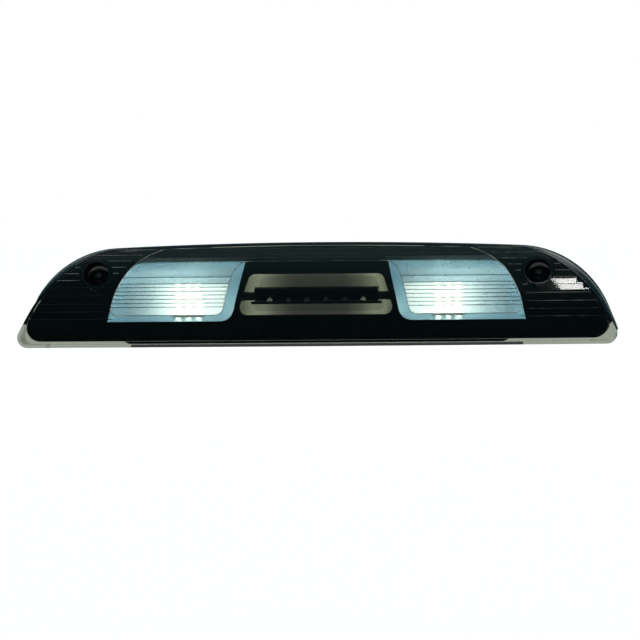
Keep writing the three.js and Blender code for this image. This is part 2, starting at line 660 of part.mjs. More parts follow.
// ---------------------------------------------------------------- fasteners
function mountingScrew() {
  const profile = [
    [0, 0],
    [HEAD_FLANGE_RADIUS, 0],
    [HEAD_FLANGE_RADIUS, -HEAD_FLANGE],
    [HEAD_RADIUS, -HEAD_FLANGE - 0.3],
    [HEAD_RADIUS, -HEAD_HEIGHT + 0.5],
    [HEAD_RADIUS - 0.8, -HEAD_HEIGHT],
    [0, -HEAD_HEIGHT],
  ].map(([r, w]) => new THREE.Vector2(r, w));
  const head = new THREE.LatheGeometry([...profile].reverse(), 24);
  const length = panelRun - WELL_DEPTH + SEAL_THICKNESS + SCREW_REACH;
  const shank = [
    [0, -1],
    [SHANK_RADIUS, -1],
    [SHANK_RADIUS, length - 4],
    [1.0, length],
    [0, length],
  ].map(([r, w]) => new THREE.Vector2(r, w));
  const drive = new THREE.CylinderGeometry(2.1, 2.1, 4, 6).translate(0, -HEAD_HEIGHT, 0);
  return solid(head).add(solid(new THREE.LatheGeometry(shank, 16))).subtract(solid(drive));
}

/** A ring or tube along Y, from y 0 onwards. */
function tube(innerRadius, outerRadius, length, sides = 24) {
  const corners = [
    [innerRadius, 0],
    [outerRadius, 0],
    [outerRadius, length],
    [innerRadius, length],
    [innerRadius, 0],
  ];
  return new THREE.LatheGeometry(
    corners.map(([r, y]) => new THREE.Vector2(r, y)),
    sides,
  );
}

for (const side of ["left", "right"]) {
  const axis = new THREE.Group();
  axis.position.set(SIDES[side] * WELL_X, -mouthDepth, WELL_Z);
  axis.rotation.x = -SCREW_DIP;
  lamp.add(axis);
  const sealEnd = WELL_DEPTH - GAP;
  const seal = add(`screw_seal_${side}`, tube(SHANK_RADIUS + GAP, HEAD_FLANGE_RADIUS - 0.4, SEAL_THICKNESS), rubber, axis);
  seal.position.y = sealEnd - SEAL_THICKNESS;
  const screw = add(`mounting_screw_${side}`, mountingScrew(), steel, axis);
  screw.position.y = sealEnd - SEAL_THICKNESS - GAP;
  const sleeve = add(
    `screw_sleeve_${side}`,
    tube(SHANK_RADIUS + 0.5, SLEEVE_RADIUS, panelRun - floorRun - GAP),
    steel,
    axis,
  );
  sleeve.position.y = floorRun + GAP;
}

SCREW_POSTS.forEach((post, i) => {
  const top = POST_DEPTH + EAR_THICKNESS + 2 * GAP;
  const head = bar(post.x, post.z, 3.2, 2.4, top, top + 1.9, 16);
  const shank = bar(post.x, post.z, 1.1, 1.1, POST_DEPTH - 8, top + 0.5, 10);
  add(`reflector_screw_${i + 1}`, solid(head).add(solid(shank)), steel);
});

// ---------------------------------------------------------------- electrical socket and vent
function makeSocket() {
  const rear = -HUMP_REACH - GAP;
  const body = roundedRectangle(
    SOCKET_X - SOCKET_WIDTH / 2,
    SOCKET_X + SOCKET_WIDTH / 2,
    SOCKET_Z - SOCKET_HEIGHT / 2,
    SOCKET_Z + SOCKET_HEIGHT / 2,
    2.4,
  );
  const mouth = roundedRectangle(
    SOCKET_X - SOCKET_WIDTH / 2 + SOCKET_WALL,
    SOCKET_X + SOCKET_WIDTH / 2 - SOCKET_WALL,
    SOCKET_Z - SOCKET_HEIGHT / 2 + SOCKET_WALL,
    SOCKET_Z + SOCKET_HEIGHT / 2 - SOCKET_WALL,
    1.2,
  );
  const flange = roundedRectangle(
    SOCKET_X - SOCKET_WIDTH / 2 - 2.5,
    SOCKET_X + SOCKET_WIDTH / 2 + 2.5,
    SOCKET_Z - SOCKET_HEIGHT / 2 - 2.5,
    SOCKET_Z + SOCKET_HEIGHT / 2 + 2.5,
    3,
  );
  const slots = pinPlaces().map((x) => solid(block(x - 1.4, x + 1.4, SOCKET_Z - 0.8, SOCKET_Z + 0.8, rear - 20, rear + 2)));
  const latch = block(SOCKET_X - 3, SOCKET_X + 3, SOCKET_Z + SOCKET_HEIGHT / 2 - 0.5, SOCKET_Z + SOCKET_HEIGHT / 2 + 1.6, rear - SOCKET_REACH + 2, rear - 6);
  return solid(slab(body, rear - SOCKET_REACH, rear, 4))
    .add(solid(slab(flange, rear - 2, rear, 4)))
    .add(solid(latch))
    .subtract(solid(slab(mouth, rear - SOCKET_REACH - 1, rear - 2.5, 4)))
    .subtract(union(...slots));
}
add("connector_socket", makeSocket(), blackPlastic);

pinPlaces().forEach((x, i) => {
  add(
    `connector_pin_${i + 1}`,
    block(x - 1, x + 1, SOCKET_Z - 0.4, SOCKET_Z + 0.4, -HUMP_REACH - SOCKET_REACH + 4, -HUMP_REACH + 8),
    tin,
  );
});

function makeVent() {
  const rear = -HUMP_REACH - GAP;
  const cap = bar(VENT.x, VENT.z, VENT.radius - 0.8, VENT.radius, rear - 3.5, rear, 20);
  const neck = bar(VENT.x, VENT.z, VENT.neck, VENT.neck, rear - 1, -HUMP_REACH + HOUSING_WALL + 2, 12);
  const slits = [0, 1].map((turn) =>
    solid(
      new THREE.BoxGeometry(1, 2, 20)
        .rotateY((turn * Math.PI) / 2)
        .translate(VENT.x, -(rear - 3.5), VENT.z),
    ),
  );
  return solid(cap).add(solid(neck)).subtract(union(...slits));
}
add("vent_cap", makeVent(), rubber);

// ---------------------------------------------------------------- leads inside the housing
/** A lead of round section through points given as [x, depth, z]. */
function lead(points, sides = 8, steps = 22) {
  const path = new THREE.CatmullRomCurve3(points.map(([x, depth, z]) => new THREE.Vector3(x, -depth, z)));
  const section = new THREE.Shape();
  for (let i = 0; i < sides; i++) {
    const turn = (i / sides) * 2 * Math.PI;
    const at = [(LEAD_DIAMETER / 2) * Math.cos(turn), (LEAD_DIAMETER / 2) * Math.sin(turn)];
    if (i) section.lineTo(...at);
    else section.moveTo(...at);
  }
  return new THREE.ExtrudeGeometry(section, { steps, bevelEnabled: false, extrudePath: path });
}

const pins = pinPlaces();
const leadEnd = -HUMP_REACH + 10.2;
add(
  "cargo_lead_left",
  lead([
    [-96, CARGO_BOARD_DEPTH - 2, 30],
    [-90, 9.6, 29],
    [-82, 8, 27],
    [-72, 8.6, 25],
    [-60, 9, 25],
    [-44, 3, 26],
    [-24, -2, 25],
    [0, -2.5, 26],
    [12, -1.5, 30],
    [pins[0] - 1.5, -1.8, 33.5],
    [pins[0], leadEnd, 34],
  ]),
  leadJacket,
);
add(
  "cargo_lead_right",
  lead([
    [96, CARGO_BOARD_DEPTH - 2, 30],
    [90, 9.6, 29],
    [82, 8, 27],
    [72, 8.6, 25],
    [61, 9, 25],
    [50, 4, 26],
    [42, 0, 29],
    [pins[3] + 2.5, -1.5, 33],
    [pins[3] + 1, leadEnd, 34],
  ]),
  leadJacket,
);
add(
  "brake_lead",
  lead([
    [-20, barBack - 0.5, 36],
    [-20, barBack - 4, 36],
    [-17, 21, 37.5],
    [LEAD_PORT.x, 16, LEAD_PORT.z],
    [LEAD_PORT.x, 11, LEAD_PORT.z],
    [-8, 5, 38.5],
    [4, 2, 38.5],
    [16, 1, 37.5],
    [pins[1] - 0.5, -0.5, 35],
    [pins[1] + 1, leadEnd, 34],
  ]),
  leadJacket,
);

export default lamp;
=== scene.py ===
# %% [markdown]
# # A smoked third brake light
# This lamp sits on the rear edge of a pickup cab's roof. One smoked lens wraps over three windows: a middle
# brake lamp with a slim light bar, and a cargo lamp at each side, which is lit here. The measured model is
# loaded as a frame, and the pieces whose looks matter most are modelled again over it, in the same place
# and at the same size. Lengths are written in millimetres and turned into metres where they are used.

import math

import bpy
from mathutils import Matrix, Vector


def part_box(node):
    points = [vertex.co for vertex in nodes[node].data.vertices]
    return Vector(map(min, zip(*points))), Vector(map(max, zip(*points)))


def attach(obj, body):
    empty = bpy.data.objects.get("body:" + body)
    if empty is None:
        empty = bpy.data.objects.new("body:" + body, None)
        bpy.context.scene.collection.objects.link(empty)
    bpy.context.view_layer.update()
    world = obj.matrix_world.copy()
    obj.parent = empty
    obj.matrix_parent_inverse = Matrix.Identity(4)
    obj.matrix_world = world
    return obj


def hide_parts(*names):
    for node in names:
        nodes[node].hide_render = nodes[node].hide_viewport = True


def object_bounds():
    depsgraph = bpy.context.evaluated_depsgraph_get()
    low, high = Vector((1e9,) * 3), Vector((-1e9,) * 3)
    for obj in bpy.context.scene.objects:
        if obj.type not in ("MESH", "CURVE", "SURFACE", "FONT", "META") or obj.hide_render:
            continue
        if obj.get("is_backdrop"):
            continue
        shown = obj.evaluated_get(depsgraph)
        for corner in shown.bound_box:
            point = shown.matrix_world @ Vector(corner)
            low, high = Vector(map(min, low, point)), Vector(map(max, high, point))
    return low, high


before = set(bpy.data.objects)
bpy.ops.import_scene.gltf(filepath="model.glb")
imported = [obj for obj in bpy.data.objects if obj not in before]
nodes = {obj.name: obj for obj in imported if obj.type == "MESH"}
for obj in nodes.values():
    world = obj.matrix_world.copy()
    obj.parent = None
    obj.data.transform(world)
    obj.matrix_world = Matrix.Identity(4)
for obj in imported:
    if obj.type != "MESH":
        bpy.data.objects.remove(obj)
measured_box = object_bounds()
MM = 0.001
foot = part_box("outer_lens")[0].z  # height of the lens's lower edge
SIDES = ((-1, "left"), (1, "right"))
print("nodes:", len(nodes), "foot at", round(foot / MM, 2), "mm")

# %% [markdown]
# ## Tools for the bench
# Most operators work on whatever is selected, so each helper first selects exactly one piece, or exactly
# the vertices, edges or faces that a test picks out by their place. Places are written as distance along
# the lamp, depth forward of the cab panel, and height above the lens's foot, because those are the sizes
# that a lamp maker's drawing gives.

# %% Selecting
def place(along, depth, height):
    return Vector((along * MM, -depth * MM, foot + height * MM))


def sizes_of(point):
    """The along, depth and height of a point."""
    return point.x / MM, -point.y / MM, (point.z - foot) / MM


def take(piece):
    bpy.ops.object.select_all(action="DESELECT")
    piece.select_set(True)
    bpy.context.view_layer.objects.active = piece
    return piece


def edit(piece, kind="VERT"):
    take(piece)
    bpy.ops.object.mode_set(mode="EDIT")
    bpy.ops.mesh.select_mode(type=kind)
    bpy.ops.mesh.select_all(action="SELECT")


def done():
    bpy.ops.object.mode_set(mode="OBJECT")


def choose(piece, kind, test):
    """Enters edit mode with only those vertices, edges or faces selected whose middle passes the test."""
    edit(piece, kind)
    bpy.ops.mesh.select_all(action="DESELECT")
    done()
    mesh = piece.data
    if kind == "FACE":
        for face in mesh.polygons:
            face.select = test(face.center, face.normal)
    elif kind == "EDGE":
        for edge in mesh.edges:
            ends = [mesh.vertices[i].co for i in edge.vertices]
            edge.select = test((ends[0] + ends[1]) / 2, (ends[1] - ends[0]).normalized())
    else:
        for vertex in mesh.vertices:
            vertex.select = test(vertex.co, vertex.normal)
    bpy.ops.object.mode_set(mode="EDIT")


def settle(name=None):
    """Puts a fresh primitive's place into its mesh, so that its object lies at the origin."""
    piece = take(bpy.context.object)
    bpy.ops.object.transform_apply(location=True, rotation=True, scale=True)
    if name:
        piece.name = piece.data.name = name
    return piece


# %% Modifiers, joins and copies
def modify(piece, kind, **settings):
    modifier = piece.modifiers.new(kind.title(), kind)
    for name, value in settings.items():
        setattr(modifier, name, value)
    take(piece)
    bpy.ops.object.modifier_apply(modifier=modifier.name)
    return piece


def break_edges(piece, width, sharper_than=50, segments=2):
    """Bevels the edges that turn by more than an angle, because no moulded edge is a true corner."""
    angle = math.radians(sharper_than)
    return modify(
        piece, "BEVEL", width=width * MM, segments=segments, limit_method="ANGLE", angle_limit=angle
    )


def combine(piece, how, *tools):
    for tool in tools:
        modify(piece, "BOOLEAN", operation=how, object=tool, solver="EXACT")
        bpy.data.objects.remove(tool)
    return piece


def join(name, *parts):
    take(parts[0])
    for part in parts:
        part.select_set(True)
    if len(parts) > 1:
        bpy.ops.object.join()
    parts[0].name = parts[0].data.name = name
    return parts[0]


def copy(piece, name, move=Vector()):
    twin = piece.copy()
    twin.data = piece.data.copy()
    twin.name = twin.data.name = name
    bpy.context.collection.objects.link(twin)
    twin.data.transform(Matrix.Translation(move))
    return twin


def mirrored(piece, name):
    """A copy for the lamp's other end."""
    twin = copy(piece, name)
    twin.data.transform(Matrix.Scale(-1, 4, (1, 0, 0)))
    twin.data.flip_normals()
    return twin


def outward(piece):
    edit(piece)
    bpy.ops.mesh.normals_make_consistent(inside=False)
    done()
    return piece


def smooth(piece, degrees=30):
    take(piece)
    bpy.ops.object.shade_smooth_by_angle(angle=math.radians(degrees))
    return piece


# %% Drawing an outline by extruding a corner from point to point
def draw(points, closed=True):
    """A chain of edges through the points; a closed chain is filled with one face."""
    bpy.ops.mesh.primitive_plane_add(size=0.001, location=points[0])
    piece = settle()
    edit(piece)
    bpy.ops.mesh.merge(type="CENTER")
    for here, there in zip(points, points[1:] + points[:1] if closed else points[1:]):
        bpy.ops.mesh.extrude_region_move(TRANSFORM_OT_translate={"value": there - here})
    bpy.ops.mesh.select_all(action="SELECT")
    bpy.ops.mesh.remove_doubles(threshold=1e-6)
    if closed:
        bpy.ops.mesh.edge_face_add()
    done()
    return piece


def extrude(piece, move, steps=1):
    """Pulls the one flat face of a drawing into a solid, in even steps."""
    edit(piece, "FACE")
    for _ in range(steps):
        bpy.ops.mesh.extrude_region_move(TRANSFORM_OT_translate={"value": move / steps})
    done()
    return outward(piece)


def reshape(piece, move):
    """Moves each vertex by a rule that takes and gives along, depth and height."""
    for vertex in piece.data.vertices:
        vertex.co = place(*move(*sizes_of(vertex.co)))
    piece.data.update()
    return piece


# %% [markdown]
# ## The lamp's two ruling shapes
# Everything in this lamp follows two shapes. The outline is what you see from the front: a very shallow
# arch, two round shoulders and two leaning ends, which draw in a little towards the face. The face is part
# of an ellipse seen from the end, and it is bowed like the cab, so it can be made by spinning a flat
# ellipse about an upright axis far behind the lamp. Cutting one solid with the other gives the lens, its
# hollow, and the plate behind it, each with its own offset.

# %% The outline
FACE_DEPTH, FACE_RISE, BOW = 58, 86, 2200
TOP, TOP_RADIUS, FOOT_HALF, LEAN = 77, 3500, 228.7, math.radians(22.3)
SHOULDER, TOE = 74, 8
END_FLARE, TOP_DRAFT = 1.92e-5, 0.015  # how the ends and the top draw in towards the face
LENS_WALL, LENS_REAR = 2.5, 4
GAP = 0.3  # clearance between neighbouring pieces
OUTLINE_FRONT, PAST_FACE = 62, 70  # depths in front of everything


def arc(centre, radius, start, end, steps):
    turns = [start + (end - start) * i / steps for i in range(steps + 1)]
    return [(centre[0] + radius * math.cos(t), centre[1] + radius * math.sin(t)) for t in turns]


def straight(start, end, steps):
    """The points between two ends, without the ends."""
    run, rise = end[0] - start[0], end[1] - start[1]
    return [(start[0] + run * i / steps, start[1] + rise * i / steps) for i in range(1, steps)]


def lamp_outline(inset, low, toe_radius):
    """Right half from the foot to the crown, then its mirror image; points of along and height."""
    along = Vector((-math.sin(LEAN), math.cos(LEAN)))
    inward = Vector((-math.cos(LEAN), -math.sin(LEAN)))
    crown = Vector((0, TOP - TOP_RADIUS))
    end = Vector((FOOT_HALF, 0)) + inward * inset
    radius = SHOULDER - inset
    reach = TOP_RADIUS - SHOULDER
    start = end + inward * radius - crown
    run = start.dot(along)
    shoulder = start + along * (-run + math.sqrt(run * run - start.length_squared + reach * reach)) + crown
    turn = math.atan2(shoulder.y - crown.y, shoulder.x)
    rise = low + toe_radius
    toe = end + inward * toe_radius + along * ((rise - end.y - inward.y * toe_radius) / along.y)
    lean = LEAN
    if rise + toe_radius * math.sin(lean) > shoulder.y + radius * math.sin(lean):
        drop = rise - shoulder.y
        across = math.sqrt((radius - toe_radius) ** 2 - drop * drop)
        toe.x, lean = shoulder.x + across, math.atan2(drop, across)
    right = arc(toe, toe_radius, -math.pi / 2, lean, 12)
    right += straight(right[-1], arc(shoulder, radius, lean, turn, 1)[0], 4)
    right += arc(shoulder, radius, lean, turn, 36)
    right += arc(crown, TOP_RADIUS - inset, turn, math.pi / 2, 24)[1:]
    left = [(-x, z) for x, z in reversed(right[:-1])]
    return right + left


def flare(along, depth, height):
    share = (depth - LENS_REAR) / (FACE_DEPTH - LENS_REAR)
    return along * (1 - END_FLARE * share * height * height), depth, height * (1 - TOP_DRAFT * share)


def outline_body(inset, low, toe_radius, rear=0, front=OUTLINE_FRONT):
    body = draw([place(x, rear, z) for x, z in lamp_outline(inset, low, toe_radius)])
    extrude(body, Vector((0, -(front - rear) * MM, 0)), steps=8)
    return reshape(body, flare)


print("outline points:", len(lamp_outline(0, 0, TOE)))


# %% The face
def face_depth(along, height, behind=0.0):
    rise = height / (FACE_RISE - behind)
    return (FACE_DEPTH - behind) * math.sqrt(max(0.0, 1 - rise * rise)) - along * along / (2 * BOW)


def face_body(behind, spread=6.25, steps=96):
    """A flat ellipse, spun about the bow's axis: everything behind the lens face or an offset of it."""
    axis = Vector((0, (BOW - FACE_DEPTH) * MM, 0))
    bpy.ops.mesh.primitive_circle_add(
        vertices=224,
        radius=1,
        fill_type="NGON",
        location=(0, 0, foot),
        rotation=(0, math.pi / 2, 0),
    )
    bpy.context.object.scale = ((FACE_RISE - behind) * MM, (FACE_DEPTH - behind) * MM, 1)
    body = settle()
    turn = Matrix.Rotation(math.radians(spread), 4, "Z")
    body.data.transform(Matrix.Translation(axis) @ turn @ Matrix.Translation(-axis))
    edit(body, "FACE")
    bpy.ops.mesh.spin(steps=steps, angle=math.radians(2 * spread), center=axis, axis=(0, 0, 1))
    done()
    return outward(body)


def box(low, high):
    """A plain block between two corners of along, depth and height, for a cut."""
    a, b = place(*low), place(*high)
    bpy.ops.mesh.primitive_cube_add(size=1, location=(a + b) / 2)
    bpy.context.object.scale = [abs(p - q) for p, q in zip(a, b)]
    return settle()


print("face depth at 70 mm up:", round(face_depth(0, 70), 1), "mm")

# %% [markdown]
# ## Screw wells
# Each end of the lamp is held by one screw at the bottom of a deep round well. The wells run slightly
# downward as they go in, so a cylinder is tipped about the well's mouth. The cup that lines the well is cut
# to the face's own curve.

# %% The wells' axis
WELL_X, WELL_Z, DIP = 165.5, 55.0, math.radians(8)
WELL_RADIUS, CUP_RADIUS, WELL_DEPTH, WELL_FLOOR = 9.4, 11.6, 28.0, 2.5
CUP_SUNK, SCREW_HOLE = 0.4, 3.6
mouth_depth = face_depth(WELL_X, WELL_Z)


def well_point(side, inward):
    """A point on a well's axis, so far in from its mouth."""
    return place(side * WELL_X, mouth_depth - inward * math.cos(DIP), WELL_Z - inward * math.sin(DIP))


def well_bar(radius, start, end, side=1, sides=72):
    """A cylinder on the well's axis, between two distances inward from its mouth."""
    bpy.ops.mesh.primitive_cylinder_add(
        vertices=sides,
        radius=radius * MM,
        depth=(end - start) * MM,
        location=well_point(side, (start + end) / 2),
        rotation=(-math.pi / 2 - DIP, 0, 0),
    )
    return settle()


def both_wells(start, end):
    """The room that the two cups need, for a cut."""
    return [well_bar(CUP_RADIUS + GAP, start, end, side) for side in (1, -1)]


print("well mouth at depth", round(mouth_depth, 2), "mm")


# %% [markdown]
# ## The outer lens
# The lens is a thin shell: its front is the bowed ellipse, and its side walls reach back to the cab. It is
# cut out of the two ruling solids, hollowed with a smaller pair of them, and opened below, where only a
# short lip turns back. Its outer edges get a small bevel, since a moulded edge is never sharp and the one
# between face and sides catches a line of light. The rear edge is split at a height, because only the part
# above it is welded.

# %% Cut the lens
LIP_WALL, LIP_HALF, LIP_TOP, LIP_BEHIND = 2.2, 203, 4.3, 14
WELD_LOW = 15


def on_rear_edge(centre, normal):
    return normal.y > 0.9 and sizes_of(centre)[1] < LENS_REAR + 0.1


lens = combine(outline_body(0, 0, TOE, rear=LENS_REAR), "INTERSECT", face_body(0))
break_edges(lens, 0.3, 40)
hollow = combine(outline_body(LENS_WALL, LIP_WALL, TOE - LENS_WALL), "INTERSECT", face_body(LENS_WALL))
underside = box((-LIP_HALF, -5, -3), (LIP_HALF, PAST_FACE, LIP_TOP))
combine(underside, "INTERSECT", face_body(LIP_BEHIND))
combine(lens, "DIFFERENCE", hollow, underside, *both_wells(-20, WELL_DEPTH))
choose(lens, "FACE", on_rear_edge)
bpy.ops.mesh.bisect(plane_co=place(0, 0, WELD_LOW), plane_no=(0, 0, 1))
done()
smooth(lens, 25)
lens.name = lens.data.name = "smoked_lens"
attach(lens, "root")
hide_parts("outer_lens")
print("lens:", len(lens.data.polygons), "faces")

# %% Cups of the screw wells
well_cups = []
for side, word in SIDES:
    cup = well_bar(CUP_RADIUS, -14, WELL_DEPTH + WELL_FLOOR, side)
    combine(cup, "INTERSECT", face_body(CUP_SUNK))
    bore = well_bar(WELL_RADIUS, -20, WELL_DEPTH, side)
    combine(cup, "DIFFERENCE", bore, well_bar(SCREW_HOLE, 0, WELL_DEPTH + 5, side, 32))
    break_edges(cup, 0.35)
    smooth(cup)
    cup.name = cup.data.name = f"well_cup_{word}"
    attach(cup, "root")
    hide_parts(f"screw_well_{word}")
    well_cups.append(cup)
print("well cups:", [cup.name for cup in well_cups])

# %% [markdown]
# ## The windows
# The bezel behind the lens has three openings. Each is a closed line of straights and soft corners. The
# corners are quadratic curves, which need only a start, a corner to pull towards, and an end. The same
# lines also shape the reflectors behind the openings, so a small gap between bezel and reflector stays even
# all the way round.

# %% Window outlines
def soft(start, pull, end, steps=14):
    """A quadratic curve without its first point."""
    points = []
    for i in range(1, steps + 1):
        t = i / steps
        a, p, b = (1 - t) ** 2, 2 * t * (1 - t), t * t
        points.append((a * start[0] + p * pull[0] + b * end[0], a * start[1] + p * pull[1] + b * end[1]))
    return points


def cargo_window(side, grow=0.0):
    g = grow
    line = [(156.5 + g, 18.9 - g), (72 - g, 18.9 - g)]
    line += soft(line[-1], (62.5 - g, 18.9 - g), (61 - g, 30.5))
    line += soft(line[-1], (57.5 - g, 46), (53.3 - g, 62.8 + g))
    line += [(129 + g, 62.3 + g)]
    line += soft(line[-1], (137 + g, 61.8 + g), (141.2 + g, 57))
    line += soft(line[-1], (152.8 + g, 42), (154.6 + g, 27))
    return [(side * x, z) for x, z in line]


def brake_window(grow=0.0):
    g = grow
    low, high = 23.3 - g, 53.4 + g
    half = [(50.5 + g, low)]
    half += soft(half[-1], (57 + g, low), (57 + g, low + 6.5))
    half += soft(half[-1], (54.4 + g, 40), (51.2 + g, high - 4.8))
    half += soft(half[-1], (50.2 + g, high), (45 + g, high))
    return half + [(-x, z) for x, z in reversed(half)]


def window_bar(line, rear=0, front=PAST_FACE, steps=1):
    bar = draw([place(x, rear, z) for x, z in line])
    return extrude(bar, Vector((0, -(front - rear) * MM, 0)), steps)


print("window points:", len(cargo_window(1)), "and", len(brake_window()))

# %% The bezel
BEZEL_FRONT, BEZEL_BACK, BEZEL_INSET, BEZEL_FOOT, BEZEL_TOE = 3.9, 5.7, 3.0, 4.6, 11
bezel = combine(outline_body(BEZEL_INSET, BEZEL_FOOT, BEZEL_TOE), "INTERSECT", face_body(BEZEL_FRONT))
combine(bezel, "DIFFERENCE", face_body(BEZEL_BACK), window_bar(cargo_window(-1)), window_bar(cargo_window(1)))
combine(bezel, "DIFFERENCE", window_bar(brake_window()), *both_wells(-10, 20))
break_edges(bezel, 0.35, 60)
smooth(bezel)
bezel.name = bezel.data.name = "black_bezel"
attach(bezel, "root")
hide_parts("inner_bezel")
print("bezel:", len(bezel.data.polygons), "faces")

# %% [markdown]
# ## Reflectors
# A reflector is a cup whose mouth has the window's shape and whose walls draw in towards the back. It is
# made as two nested bars, each scaled down step by step as it goes back, one taken out of the other. The
# cargo cups have a slot in the back for the lamp board, and the brake cup has two slots for the struts of
# the light bar.

# %% Cups
CUP_FRONT, CUP_WALL, CUP_Z = 6.0, 1.5, 38
CARGO_X, CARGO_REAR, CARGO_SHARE = 106, 19.9, 0.8
BRAKE_REAR, BRAKE_SHARE = 12, 0.86
BOARD_X, BOARD_Z = 97.5, 33.5  # middle of each lamp board
SLOT_HALF_WIDTH, SLOT_HALF_HEIGHT = 12.5, 13
STRUT_ROOM_LOW, STRUT_ROOM_HIGH = 33.7, 40.3


def cup_bar(line, middle, rear, share):
    """A bar with a window's shape at the bezel, which draws in about a middle of along and height."""

    def draw_in(along, depth, height):
        mouth = face_depth(along, height, CUP_FRONT)
        scale = 1 - (1 - share) * (mouth - depth) / (mouth - rear)
        return middle[0] + (along - middle[0]) * scale, depth, middle[1] + (height - middle[1]) * scale

    return reshape(window_bar(line, rear, OUTLINE_FRONT, 10), draw_in)


cargo_cups = []
for side, word in SIDES:
    middle = (side * CARGO_X, CUP_Z)
    cup = cup_bar(cargo_window(side, CUP_WALL), middle, CARGO_REAR, CARGO_SHARE)
    combine(cup, "INTERSECT", face_body(CUP_FRONT))
    slot = box(
        (side * BOARD_X - SLOT_HALF_WIDTH, 0, BOARD_Z - SLOT_HALF_HEIGHT),
        (side * BOARD_X + SLOT_HALF_WIDTH, 30, BOARD_Z + SLOT_HALF_HEIGHT),
    )
    inside = cup_bar(cargo_window(side), middle, CARGO_REAR + CUP_WALL, CARGO_SHARE)
    combine(cup, "DIFFERENCE", inside, slot)
    break_edges(cup, 0.3)
    smooth(cup)
    cup.name = cup.data.name = f"cargo_cup_{word}"
    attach(cup, "root")
    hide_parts(f"cargo_reflector_{word}")
    cargo_cups.append(cup)

brake_cup = cup_bar(brake_window(CUP_WALL), (0, CUP_Z), BRAKE_REAR, BRAKE_SHARE)
combine(brake_cup, "INTERSECT", face_body(CUP_FRONT))
combine(brake_cup, "DIFFERENCE", cup_bar(brake_window(), (0, CUP_Z), BRAKE_REAR + CUP_WALL, BRAKE_SHARE))
for side in (-1, 1):
    room = box((side * 55 - 9, 32.2, STRUT_ROOM_LOW), (side * 55 + 9, PAST_FACE, STRUT_ROOM_HIGH))
    combine(brake_cup, "DIFFERENCE", room)
break_edges(brake_cup, 0.3)
smooth(brake_cup)
brake_cup.name = brake_cup.data.name = "brake_cup"
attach(brake_cup, "root")
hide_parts("brake_reflector")
print("cups:", [cup.name for cup in (*cargo_cups, brake_cup)])

# %% [markdown]
# ## Fluted optics
# In front of each cargo lamp the lens has a field of level flutes. Each flute is a small cylinder lens that
# spreads the lamps' light up and down, so that three rows of lamps melt into three upright stripes. They
# are made as real relief: a finely divided sheet is laid behind the lens wall, thickened, its back is
# pushed out between the flute lines, and the sheet is trimmed to the optic's outline.

# %% Fluted sheets
FLUTES = [20.6, 23.3, 29.6, 32.5, 35.4, 38.4, 41.2, 44.1, 46.7, 51.5, 56.4, 61.4, 67.0]
SHEET_X, SHEET_Z, SHEET_WIDE, SHEET_HIGH = 104, 44, 112, 49
SHEET_FRONT, SHEET_BACK = 0.1, 0.7  # behind the lens wall's back
OPTIC_CUT = 65.5


def optic_side():
    """The right optic's visible edge: up from its outer top, round the foot, and up its inner side."""
    line = [(115.0, 72.4)]
    line += soft(line[-1], (125, 69.5), (131.5, 65.2))
    line += soft(line[-1], (143, 57.5), (149.4, 43.8))
    line += soft(line[-1], (152.4, 37), (154.0, 29.0))
    line += soft(line[-1], (154.6, 23.7), (147, 23.7), 8)
    line += [(76.5, 23.7)]
    line += soft(line[-1], (69.6, 23.7), (68.6, 32), 8)
    line += soft(line[-1], (66.6, 43), (63.4, 52.2))
    line += soft(line[-1], (60.4, 60.5), (53, 63.3))
    return line


def optic_line(side):
    """The closed outline of the fluted sheet, a little larger than the window above."""
    around = [(x, z) for x, z in optic_side() if z < OPTIC_CUT]
    return [(side * x, z) for x, z in around + [(51, OPTIC_CUT + 0.5), (130.5, OPTIC_CUT + 0.5)]]


def flute_swell(height):
    low = max((f for f in FLUTES if f <= height), default=FLUTES[0])
    high = min((f for f in FLUTES if f > height), default=FLUTES[-1])
    if high <= low:
        return 0.0
    across = 2 * (height - low) / (high - low) - 1
    return 0.11 * min(high - low, 4.0) * (1 - across * across)


def fluted_sheet(side):
    bpy.ops.mesh.primitive_grid_add(x_subdivisions=56, y_subdivisions=232, size=1)
    bpy.context.object.scale = (SHEET_WIDE * MM, SHEET_HIGH * MM, 1)
    sheet = settle()
    upright = Matrix.Rotation(math.pi / 2, 4, "X")
    sheet.data.transform(Matrix.Translation(place(side * SHEET_X, 30, SHEET_Z)) @ upright)
    edit(sheet, "FACE")
    bpy.ops.mesh.extrude_region_move(TRANSFORM_OT_translate={"value": (0, -10 * MM, 0)})
    done()
    outward(sheet)

    def lay(along, depth, height):
        if depth > 35:
            return along, face_depth(along, height, LENS_WALL + SHEET_FRONT), height
        return along, face_depth(along, height, LENS_WALL + SHEET_BACK) - flute_swell(height), height

    reshape(sheet, lay)
    return combine(sheet, "INTERSECT", window_bar(optic_line(side)))


optics = []
for side, word in SIDES:
    sheet = smooth(fluted_sheet(side), 20)
    sheet.name = sheet.data.name = f"cargo_optic_{word}"
    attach(sheet, "root")
    optics.append(sheet)
    print(sheet.name, len(sheet.data.polygons), "faces")


# %% [markdown]
# ## Beads and ribs
# A thin bead frames each optic, and the lens's ends and top carry level ribs. Each is a round rod that
# follows the face, so a chain of edges is drawn along the face, turned into a curve, given a round section,
# and made a mesh again.

# %% Rods along the face
RIB_RADIUS, TOP_RIB_RADIUS = 0.24, 0.22
RIBS = [72.6, 68.6, 64.4, 59.8, 55.2, 50.2, 44.8, 38.7, 32.6, 26.8, 21.2]
TOP_RIBS = ((118, 72.9), (117, 68.4), (124, 66.4))  # half length and height
FROM_OPTIC, FROM_EDGE, FROM_CUP = 5.5, 2.4, 1.2


